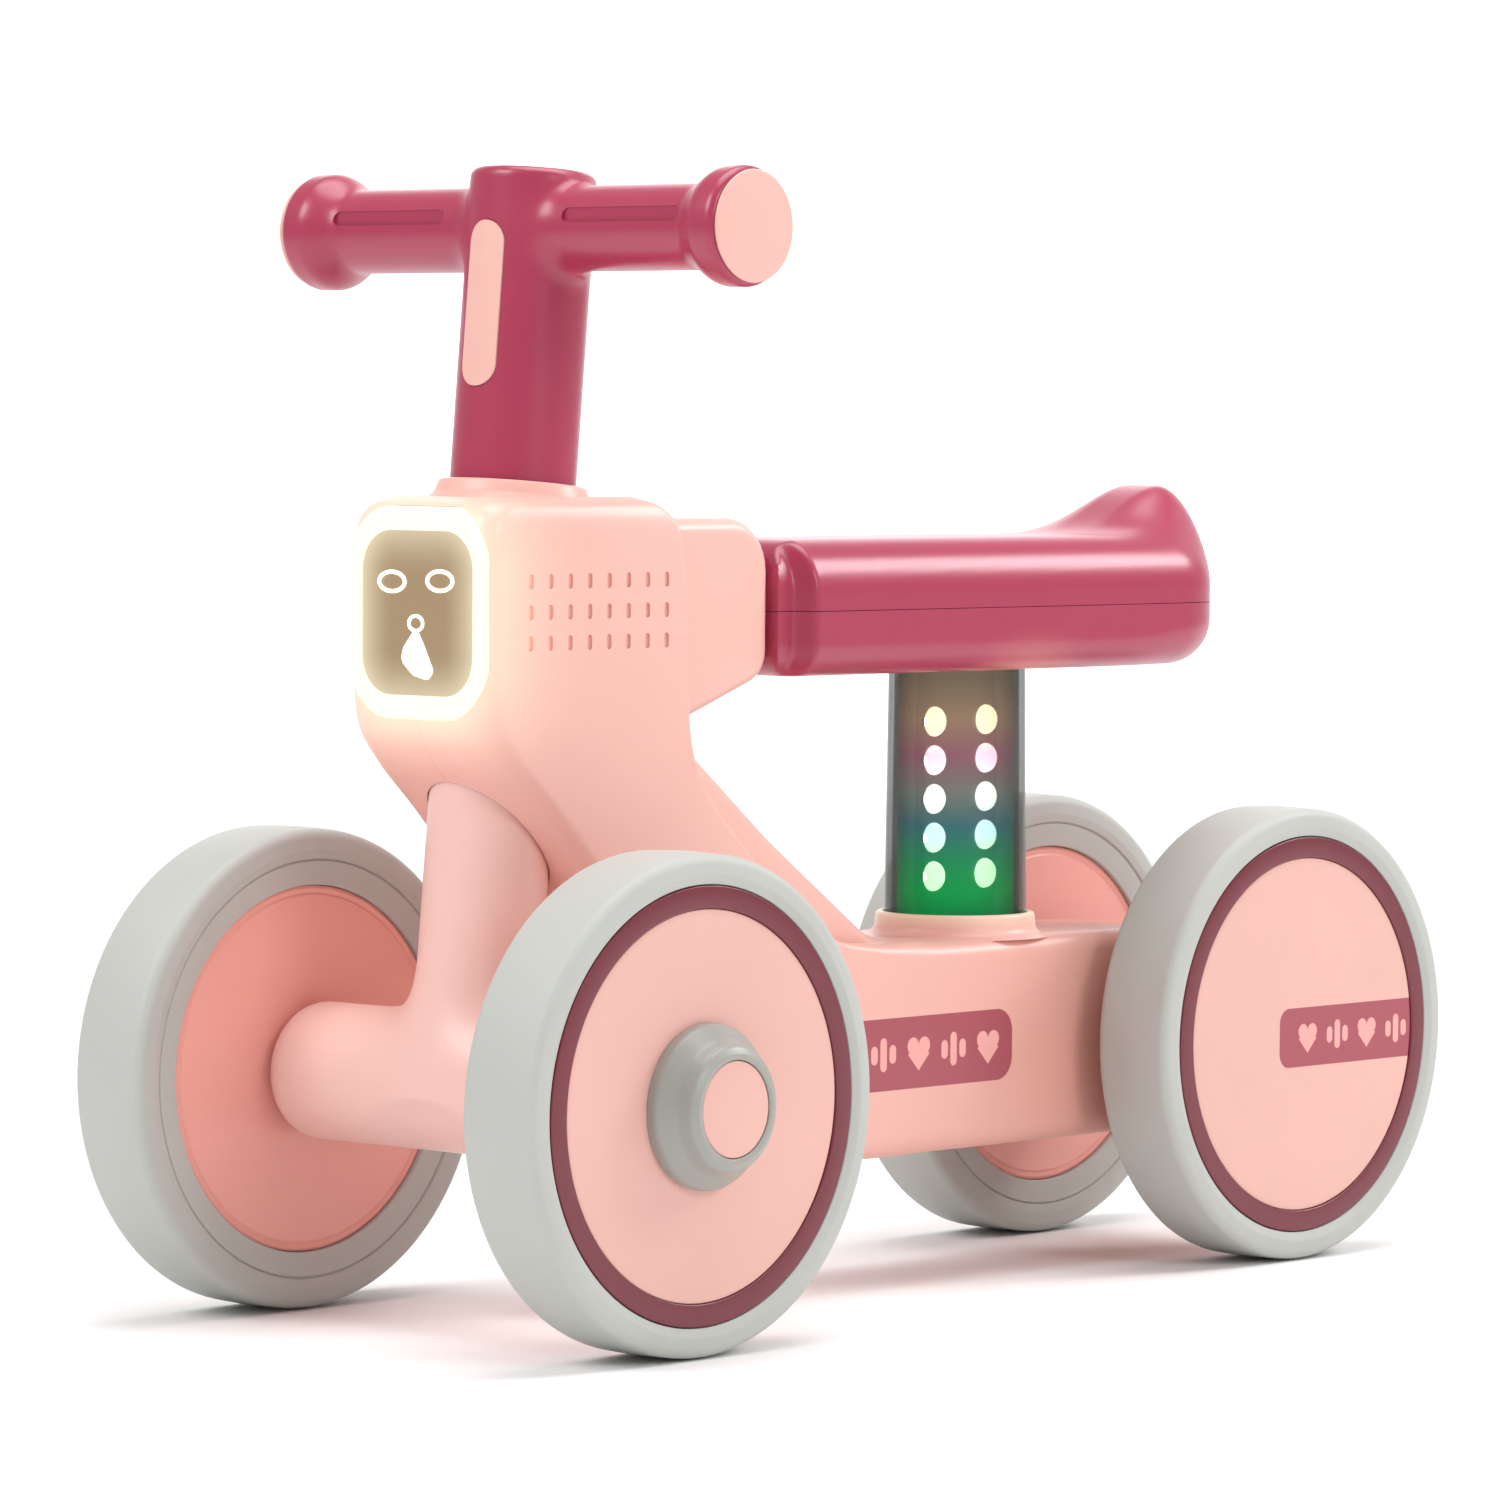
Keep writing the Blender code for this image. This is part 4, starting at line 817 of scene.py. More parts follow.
def hearts_and_bars(paint, across, up, places, size, bar, spread):
    """Distance to a row of hearts and three-bar groups by turns; places and spread are in millimetres."""
    thick, tall, short = bar
    motif = None
    for i, place in enumerate(places):
        if i % 2:
            shape = None
            for offset, height in ((0, tall), (-spread, short), (spread, short)):
                aside = across - (place + offset) * MM
                stick = paint.rounded_box(aside, up, thick, height, thick - 0.01 * MM)
                shape = stick if shape is None else shape.at_most(stick)
        else:
            shape = heart(across - place * MM, up, size)
        motif = shape if motif is None else motif.at_most(shape)
    return motif


def heart(across, up, size):
    """Distance to a plain heart: two discs over a square that stands on its corner."""
    lobe = 0.5 * size
    left = ((across + lobe) * (across + lobe) + (up - lobe * 0.75) * (up - lobe * 0.75)).root() - lobe * 1.02
    right = ((across - lobe) * (across - lobe) + (up - lobe * 0.75) * (up - lobe * 0.75)).root() - lobe * 1.02
    foot = (abs(across) * 1.02 + abs(up + lobe * 0.25) - size * 0.98) * 0.7
    lower = foot.at_least(up - lobe * 0.72)
    return left.at_most(right).at_most(lower)


class BIKE_OT_lamp(bpy.types.Operator):
    """Glowing lamp ring, tinted window and its plain light motif"""
    bl_idname = "bike.lamp"
    bl_label = "Lamp"

    def execute(self, context):
        shade = colours()
        low = lamp_rows()[0]
        border = sizes().lamp_border
        window_front = low.y + 1.2 * MM
        profile = filleted([(0, 5 * MM, 0), (0, 0.1 * MM, 1.6 * MM), (border, 0.1 * MM, 1.2 * MM),
                            (border, 5 * MM, 0)], 6)
        rings = [[(x, low.y + depth, z) for x, z in lamp_outline(inset)] for inset, depth in profile]
        ring = skin("lamp_light_guide", rings, closed_path=True)
        paint = Paint("milky_light_guide", 0.35)
        where = paint.place()[3]
        paint.set("Base Color", paint.mix(paint.noise(where, 60.0), (0.40, 0.38, 0.30), (0.44, 0.42, 0.34)))
        paint.set("Emission Color", tuple(shade.lamp))
        paint.set("Emission Strength", 0.80)
        finish_piece(ring, paint, "root", ["lamp_ring"])
        window = lamp_prism("lamp_window", border, window_front, low.y + 3 * MM)
        finish_piece(window, self.window_paint(), "root", ["lamp_panel"])
        self.motif(window_front)
        return {"FINISHED"}

    @staticmethod
    def window_paint():
        centre, size = lamp_rows()[2:]
        paint = Paint("lamp_window", 0.22)
        x, _, z = paint.place()[:3]
        half_wide, half_tall = size.x / 2 - 5 * MM, size.z / 2 - 7 * MM
        edge = paint.rounded_box(x - centre.x, z - centre.z, half_wide, half_tall, 14 * MM)
        near = (1.0 + edge / (13 * MM)).held() ** 1.5
        sides = (abs(x - centre.x) / (24 * MM)).held() ** 2.0
        base = paint.mix(near * (0.55 + 0.45 * sides), tuple(colours().window), (0.66, 0.56, 0.38))
        paint.set("Base Color", paint.mix(near, (0.16, 0.11, 0.06), (0.34, 0.29, 0.20)))
        paint.set("Emission Color", base)
        paint.set("Emission Strength", 0.62)
        paint.set("Coat Weight", 0.3)
        return paint

    @staticmethod
    def motif(face):
        """Two oval rings, a small ring and a drop as raised light guides, in millimetres above the axle."""
        sunk, raised, facets = 0.3, -0.35, 48
        ovals = (
            # across, up, half width, half height and line
            (-10.8, 152.8, 6.0, 3.5, 1.15),
            (9.5, 153.3, 5.9, 3.5, 1.15),
            (-0.6, 140.4, 3.4, 2.7, 0.95),
        )
        shapes = []
        for x, z, wide, tall, line in ovals:
            section = [(wide, sunk), (wide, raised), (wide - line, raised), (wide - line, sunk)]
            rings = []
            for step in range(facets):
                angle = 2 * math.pi * step / facets
                c, s = math.cos(angle), math.sin(angle)
                rings.append([((x + r * c) * MM, face + d * MM,
                               AXLE_HEIGHT + (z + (r - wide + tall) * s) * MM) for r, d in section])
            shapes.append(skin("ring", rings, closed_path=True))
        outline = [(0.2, 138.0, 0.4), (2.4, 134.6, 4), (6.9, 126.2, 2.0), (4.6, 123.4, 2.0), (-1.6, 124.8, 4),
                   (-6.8, 129.2, 4), (-5.6, 133.2, 4), (-1.4, 138.0, 0.4)]
        drop = filleted([(x * MM, AXLE_HEIGHT + z * MM, radius * MM) for x, z, radius in outline], 6)
        depths = (face + raised * MM, face + sunk * MM)
        shapes.append(skin("drop", [[(x, y, z) for x, z in drop] for y in depths]))
        motif = join(shapes[0], *shapes[1:])
        motif.name = "lamp_motif"
        paint = Paint("motif_light", 0.4)
        where = paint.place()[3]
        paint.set("Base Color", paint.mix(paint.noise(where, 80.0), (0.95, 0.93, 0.84), (1.0, 0.99, 0.94)))
        paint.set("Emission Color", (1.0, 0.96, 0.80))
        paint.set("Emission Strength", 1.6)
        finish_piece(motif, paint, "root")


def corner_distance(first, second):
    """Distance outside the place where two half spaces overlap, negative inside it."""
    return np.hypot(np.maximum(first, 0), np.maximum(second, 0)) + np.minimum(np.maximum(first, second), 0)


class BIKE_OT_steering(bpy.types.Operator):
    """Handlebar, its inlay and end caps, the collar and the fork"""
    bl_idname = "bike.steering"
    bl_label = "Steering"

    def execute(self, context):
        self.handlebar()
        self.fork()
        self.collar()
        return {"FINISHED"}

    @staticmethod
    def handlebar():
        pink = colours().pink
        cap_low, cap_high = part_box("grip_cap_left")
        end = cap_low.x + 1.5 * MM
        up = (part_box("handlebar")[1].z - AXLE_HEIGHT) / STEER_AXIS.z - 2.4 * MM
        bar = ((cap_low.z + cap_high.z) / 2 - AXLE_HEIGHT) / STEER_AXIS.z
        foot = 172 * MM
        stem_radius, stem_edge = 19.3 * MM, 3 * MM
        grip_radius, flare_radius, lip = 13.0 * MM, 18.1 * MM, 2.6 * MM
        flare_start, flare_end = 71.5 * MM, 84 * MM

        def field(x, y, z):
            radial = np.hypot(x, y) - (stem_radius - stem_edge)
            tall = np.abs(z - (up + foot) / 2) - ((up - foot) / 2 - stem_edge)
            along = np.abs(x)
            radius = grip_radius + (flare_radius - grip_radius) * ease(along, flare_start, flare_end)
            grip = corner_distance(np.hypot(y, z - bar) - radius + lip, along - end + lip)
            return smooth_union(corner_distance(radial, tall) - stem_edge, grip - lip, sizes().grip_blend)

        deep = 22 * MM
        made = surface_net("handlebar_moulding", field, (-end - NET_MARGIN, -deep, foot - NET_MARGIN),
                           (end + NET_MARGIN, deep, up + NET_MARGIN), sizes().fine_step * 0.92)
        inlay_low, inlay_high = 211 * MM, 261.4 * MM
        wide, tall, slot_across, slot_up = 24 * MM, 2.3 * MM, 49 * MM, 2.7 * MM
        tools = []
        for side in (1, -1):
            outline = [(side * slot_across + x, bar + slot_up + z)
                       for x, z in round_rectangle(wide, tall, tall * 0.98, 8)]
            tools.append(skin("slot", [[(x, y, z) for x, z in outline] for y in (-20 * MM, -11.7 * MM)]))
        tools.append(inlay_shape("pocket", 0.25 * MM, inlay_low, inlay_high, stem_radius - 1.9 * MM, None))
        made = cut(made, *tools)
        finish_piece(on_steering_axis(made), rose_plastic("handlebar_rose"), "steering",
                     ["handlebar"], 30)
        inlay = inlay_shape("stem_inlay_moulding", 0, inlay_low, inlay_high, stem_radius - 1.6 * MM,
                            stem_radius + 0.35 * MM)
        finish_piece(on_steering_axis(inlay), moulded("inlay_pink", pink, 0.34), "steering",
                     ["stem_inlay"], 30)
        cap_paint = moulded("grip_cap_pink", pink, 0.36)
        for side, word in ((1, "left"), (-1, "right")):
            low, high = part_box("grip_cap_" + word)
            centre = (low + high) / 2
            radius = (high.z - low.z) / 2
            deep = high.x - low.x
            back = deep / 2 - 1.5 * MM
            plug = radius - 4 * MM
            profile = filleted([
                (0, -deep / 2, 0), (plug, -deep / 2, 0), (plug, -back, 0), (radius - 1.9 * MM, -back, 0),
                (radius - 1.2 * MM, deep / 2 - 0.25 * MM, 1.1 * MM), (0, deep / 2 + 0.2 * MM, 0)], 7)
            cap = turned("grip_end_" + word, profile, 96, centre, side)
            finish_piece(cap, cap_paint, "steering", ["grip_cap_" + word])

    @staticmethod
    def fork():
        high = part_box("fork")[1]
        end = high.x + 2.7 * MM
        round_end = 7.5 * MM
        deep = 26 * MM
        column, housing, top = 19.0 * MM, 21.3 * MM, 96 * MM

        def field(x, y, z):
            radial = np.hypot(x, y) - column
            pole = np.maximum(radial, np.maximum(z - top, -z))
            tube = corner_distance(np.hypot(y, z) - (housing - round_end), np.abs(x) - (end - round_end))
            return smooth_union(pole, tube - round_end, sizes().armpit)

        made = surface_net("fork_moulding", field, (-end - NET_MARGIN, -deep, -deep),
                           (end + NET_MARGIN, deep, top + NET_MARGIN), sizes().fine_step)
        hole = rod("axle_hole", 4.4 * MM, -FAR, FAR, 32, (0, 0.05 * MM, 0), "X")
        rod_hole = rod("rod_hole", 6.4 * MM, 60 * MM, top + 10 * MM, 32)
        wells = []
        for side in (1, -1):
            wells.append(rod("hub_well", 12.9 * MM, *sorted((side * high.x, side * FAR)), 64, axis="X"))
        made = cut(made, hole, rod_hole, *wells)
        finish_piece(on_steering_axis(made), moulded("fork_pink", (0.86, 0.535, 0.48), 0.38), "steering",
                     ["fork"], 30)

    @staticmethod
    def collar():
        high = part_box("steering_collar")[1]
        top = (high.z - AXLE_HEIGHT) / STEER_AXIS.z - 1.9 * MM
        bore, flare, buried = 19.75 * MM, 26.5 * MM, top - 10 * MM
        profile = filleted([
            (bore, buried, 0), (flare, buried, 0), (flare, top - 6.4 * MM, 0),
            (24.0 * MM, top - 4.2 * MM, 4.0 * MM), (22.4 * MM, top, 1.3 * MM), (bore, top, 0.4 * MM)], 8)
        collar = on_steering_axis(turned("collar_moulding", profile, 128, axis="Z"))
        finish_piece(collar, moulded("collar_pink", colours().pink, BODY_ROUGHNESS), "root",
                     ["steering_collar"], 30)


def smooth_union(first, second, blend):
    """Join two distance fields with a soft blend where they meet."""
    overlap = np.maximum(blend - np.abs(first - second), 0) / blend
    return np.minimum(first, second) - overlap ** 3 * blend / 6


def inlay_shape(name, grow, low, high, inner, outer):
    """A capsule wrapped on the front of the stem."""
    wide, tall = 6.9 * MM + grow, (high - low) / 2 + grow
    outline = [(x, (low + high) / 2 + z) for x, z in round_rectangle(wide, tall, wide * 0.99, 14)]
    made = skin(name, [[(x, y, z) for x, z in outline] for y in (-30 * MM, 0)])
    made = cut(made, rod("inside", inner, 0, FAR, 160))
    if outer:
        made = combine(made, [rod("outside", outer, 0, FAR, 160)], "INTERSECT")
    return made


def rose_plastic(name):
    """Satin dark rose plastic, with the post's warm light painted on it as a glow where the post meets the seat.
    """
    paint = moulded(name, colours().rose, 0.33, 0.06, 0.25)
    low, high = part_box("post_tube")
    x, y, z = paint.place()[:3]
    away_y = y - (low.y + high.y) / 2
    away_z = z - high.z
    away = (x * x + away_y * away_y + away_z * away_z * 6.0).root()
    # painted light: warm emission round the top of the post, for the post's light on the seat
    painted_glow = (1.0 - (away - 20 * MM).at_least(0.0) / (26 * MM)).held() ** 2.0
    paint.set("Emission Color", paint.mix(painted_glow, BLACK, (1.0, 0.62, 0.36)))
    paint.set("Emission Strength", 0.5)
    return paint


def reach_and_radius(node, centre):
    """How far a round piece reaches from the wheel's middle along the axle, and its radius."""
    low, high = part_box(node)
    return max(abs(high.x - centre.x), abs(low.x - centre.x)), (high.z - low.z) / 2


class BIKE_OT_wheels(bpy.types.Operator):
    """Foam tyres, rims, trim rings, covers and front hub caps"""
    bl_idname = "bike.wheels"
    bl_label = "Wheels"

    def execute(self, context):
        shade = colours()
        self.foam = self.foam_paint()
        self.rim = moulded("rim_pink", shade.rim, BODY_ROUGHNESS)
        self.trim = moulded("trim_rose", shade.trim, 0.36, 0.05, 0.2)
        self.cover = moulded("cover_pink", tint(shade.pink, COVER_SHADE), COVER_ROUGHNESS)
        self.printed = self.printed_paint()
        self.hub = moulded("hub_grey", shade.hub, 0.38)
        for name, centre, side in wheel_places():
            self.wheel(name, centre, side)
        return {"FINISHED"}

    @staticmethod
    def foam_paint():
        """Closed-cell foam: soft, dull and faintly pored."""
        paint = Paint("tyre_foam", 0.55)
        where = paint.place()[3]
        cloud = paint.noise(where, 26.0, 3.0)
        pores = paint.noise(where, 1100.0, 2.0)
        foam = colours().foam
        paint.set("Base Color", paint.mix(cloud, tint(foam, 0.95), tint(foam, 1.05)))
        paint.set("Roughness", 0.47 + 0.14 * pores)
        paint.bump(pores, 0.08 * MM, 0.3)
        return paint

    @staticmethod
    def printed_paint():
        """Cover plastic with a plain print that runs off the rear edge of the disc."""
        shade = colours()
        paint = moulded("cover_pink_printed", tint(shade.pink, COVER_SHADE), COVER_ROUGHNESS)
        x, y, z = paint.place()[:3]
        across = y - (REAR_AXLE_Y + 27 * MM)
        up = z - (AXLE_HEIGHT - 1 * MM)
        box = paint.rounded_box(across, up, 40 * MM, 9.8 * MM, 5 * MM)
        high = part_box("wheel_cover_rear_left")[1]
        outer = paint.inside(high.x - 0.8 * MM - abs(x), 0.3 * MM)
        bar = (1.5 * MM, 4.8 * MM, 2.7 * MM)
        motif = hearts_and_bars(paint, across, up, (-25, -9, 7, 23), 4.9 * MM, bar, 4.2)
        ink = paint.mix(paint.inside(motif), tuple(shade.print), tuple(shade.motif))
        paint.set("Base Color", paint.mix(paint.inside(box) * outer, paint.clouded, ink))
        return paint

    def wheel(self, name, centre, side):
        def spin(piece, profile, paint, node):
            made = turned(piece + "_" + name, profile, None, centre, side)
            finish_piece(made, paint, "wheel_" + name, [node + "_" + name], 40)

        low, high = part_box("tyre_" + name)
        radius = (high.z - low.z) / 2
        half = (high.x - low.x) / 2
        plane, trim_radius = reach_and_radius("trim_ring_" + name, centre)
        reach, rim_radius = reach_and_radius("rim_" + name, centre)
        inner = reach_and_radius("wheel_cover_" + name, centre)[1]
        bore = rim_radius + GAP
        floor = plane - 3.1 * MM - GAP
        groove = sizes().groove
        tyre = filleted([
            (bore, -13.0 * MM, 0.6 * MM), (64.6 * MM, -14.0 * MM, 0.3 * MM),
            (65.0 * MM, -14.0 * MM + groove, 0.1 * MM), (65.5 * MM, -14.3 * MM, 0.3 * MM),
            (68.0 * MM, -half, 2.0 * MM), (radius - 0.5 * MM, -half + 0.6 * MM, 7.0 * MM),
            (radius, 0, 60 * MM), (radius - 0.5 * MM, half - 0.4 * MM, 7.0 * MM), (68.5 * MM, half, 2.2 * MM),
            (trim_radius + GAP, plane - 0.3 * MM, 0.5 * MM), (trim_radius + GAP, floor, 0),
            (bore, floor, 0)], 7)
        spin("foam_tyre", tyre, self.foam, "tyre")
        hub_reach = max(reach, floor + 1 * MM)
        rim = filleted([
            (4.4 * MM, -hub_reach, 0.3 * MM), (11.5 * MM, -hub_reach, 1.0 * MM),
            (12.2 * MM, -11.7 * MM, 3.2 * MM),
            (30 * MM, -11.5 * MM, 0), (bore - 3.2 * MM, -11.7 * MM, 0.3 * MM),
            (bore - 2.6 * MM, -11.2 * MM, 0.2 * MM), (bore - 1.2 * MM, -11.7 * MM, 0.3 * MM),
            (bore - 0.2 * MM, -11.3 * MM, 0.3 * MM), (bore - 0.2 * MM, floor, 0), (9 * MM, floor, 0),
            (9 * MM, 4 * MM, 0), (4.4 * MM, 4 * MM, 0)], 5)
        spin("rim_moulding", rim, self.rim, "rim")
        ring = filleted([(inner + 0.15 * MM, floor + GAP, 0), (trim_radius, floor + GAP, 0),
                         (trim_radius, plane, 0.5 * MM), (inner + 0.15 * MM, plane, 0.6 * MM)], 5)
        spin("trim_moulding", ring, self.trim, "trim_ring")
        face = plane - 0.55 * MM
        disc = filleted([(0, floor + GAP, 0), (inner, floor + GAP, 0), (inner, face, 0.4 * MM),
                         (inner - 1.6 * MM, face + 0.1 * MM, 0.8 * MM), (0, face + 0.12 * MM, 0)], 5)
        if name.startswith("rear"):
            spin("cover_moulding", disc, self.printed, "wheel_cover")
        else:
            spin("cover_moulding", disc, self.cover, "wheel_cover")
            self.hub_cap(name, centre, side, face)

    def hub_cap(self, name, centre, side, face):
        body = "wheel_" + name
        top, radius = reach_and_radius("hub_cap_" + name, centre)
        radius += 0.3 * MM
        base = face + 0.15 * MM
        profile = filleted([
            (0, top - 2.4 * MM, 0), (14.6 * MM, top - 2.4 * MM, 0), (14.6 * MM, top - 0.2 * MM, 0.5 * MM),
            (16.2 * MM, top, 0.9 * MM), (18.6 * MM, top - 1.2 * MM, 2.4 * MM),
            (20.3 * MM, top - 5.2 * MM, 6 * MM), (radius, base + 3.4 * MM, 3.0 * MM),
            (radius, base, 0.3 * MM), (radius - 2 * MM, base, 0), (17 * MM, top - 6 * MM, 0),
            (0, top - 6 * MM, 0)], 8)
        cap = turned("hub_cap_moulding_" + name, profile, 112, centre, side)
        finish_piece(cap, self.hub, body, ["hub_cap_" + name], 40)
        badge = filleted([(0, top - 2.3 * MM, 0), (14.4 * MM, top - 2.3 * MM, 0),
                          (14.4 * MM, top - 0.5 * MM, 0.5 * MM), (0, top - 0.35 * MM, 0)], 5)
        finish_piece(turned("hub_disc_" + name, badge, 96, centre, side), self.cover, body,
                     ["hub_badge_" + name], 40)


def round_meet(first, second, radius):
    """Where two solids overlap, with the edge between them rounded."""
    inner = np.minimum(np.maximum(first, second), -radius)
    return inner + np.hypot(np.maximum(first + radius, 0), np.maximum(second + radius, 0))


def ease(value, start, end):
    share = np.clip((value - start) / (end - start), 0, 1)
    return share * share * (3 - 2 * share)


def seat_front():
    """The seat starts a fine gap behind the neck."""
    return FRONT_AXLE.y + (NECK_BACK + 0.35) * MM


def seat_field(x, y, z):
    """Distance field of the whole seat: a flat saddle with a crest at the back."""
    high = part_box("seat_upper")[1]
    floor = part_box("seat_lower")[0].z
    top = AXLE_HEIGHT + SEAT_TOP
    rise = high.z - top - 0.3 * MM
    front = seat_front()
    length = high.y - front
    shares = np.array([0.07, 0.20, 0.35, 0.48, 0.56, 0.64, 0.72, 0.79, 1.0])
    narrow = np.array([4.3, 3.7, 2.6, 1.5, 0.9, 0.5, 0.2, 0.0, 0.0]) * MM
    wide = high.x - np.interp(y, front + length * shares, narrow)
    wide = wide - 6.5 * MM * (1 - ease(y, front + 7 * MM, front + 12 * MM))
    corner = 34 * MM
    plan = corner_distance(np.abs(x) - (wide - corner), y - (high.y - corner)) - corner
    plan = round_meet(plan, front - y, 0.6 * MM)
    climb = ease(y, 113 * MM, 160 * MM)
    side = ease(wide - np.abs(x), 4 * MM, 30 * MM)
    back = 1 - np.clip((y - 161 * MM) / (25 * MM), 0, 1) ** 2.4
    roof = top + rise * climb * side * back
    slope = 0.85
    body = round_meet(plan, (z - roof) * slope, 15 * MM)
    lower_edge = 10 * MM + 5 * MM * ease(y, 110 * MM, 160 * MM)
    return round_meet(body, floor - z, lower_edge)


class BIKE_OT_seat(bpy.types.Operator):
    """Upper and lower seat mouldings that meet at a fine line"""
    bl_idname = "bike.seat"
    bl_label = "Seat"

    def execute(self, context):
        low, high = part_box("seat_upper")
        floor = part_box("seat_lower")[0]
        seam = low.z
        paint = rose_plastic("seat_rose")
        front = seat_front()
        room = Vector((NET_MARGIN, NET_MARGIN, NET_MARGIN))
        start = Vector((-high.x, front, floor.z))
        whole = surface_net("seat_shape", seat_field, start - room, high + room, 1.2 * MM)
        tube_low, tube_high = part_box("post_tube")
        centre = (tube_low + tube_high) / 2
        tongue = 17.4 * MM
        for upper, name in ((True, "seat_upper"), (False, "seat_lower")):
            keep = (seam + SEAT_SEAM, FAR) if upper else (-FAR, seam - SEAT_SEAM)
            made = copy_of(whole, name + "_moulding")
            combine(made, [block("keep", (-FAR, -FAR, keep[0]), (FAR, FAR, keep[1]))], "INTERSECT")
            foot, head = (keep[0], seam + 16.5 * MM) if upper else (seam - 12.5 * MM, keep[1])
            made = join(made, block("tongue", (-tongue, low.y, foot), (tongue, low.y + 30 * MM, head)))
            if not upper:
                made = cut(made, rod("recess", 22.7 * MM, 0, tube_high.z + 0.2 * MM, 96, (0, centre.y, 0)))
                for screw in ("seat_screw_front", "seat_screw_rear"):
                    at = (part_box(screw)[0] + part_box(screw)[1]) / 2
                    made = cut(made, rod("well", 5.2 * MM, 0, floor.z + 4 * MM, 40, (0, at.y, 0)))
            finish_piece(made, paint, "root", [name], 40)
        bpy.data.objects.remove(whole, do_unlink=True)
        return {"FINISHED"}


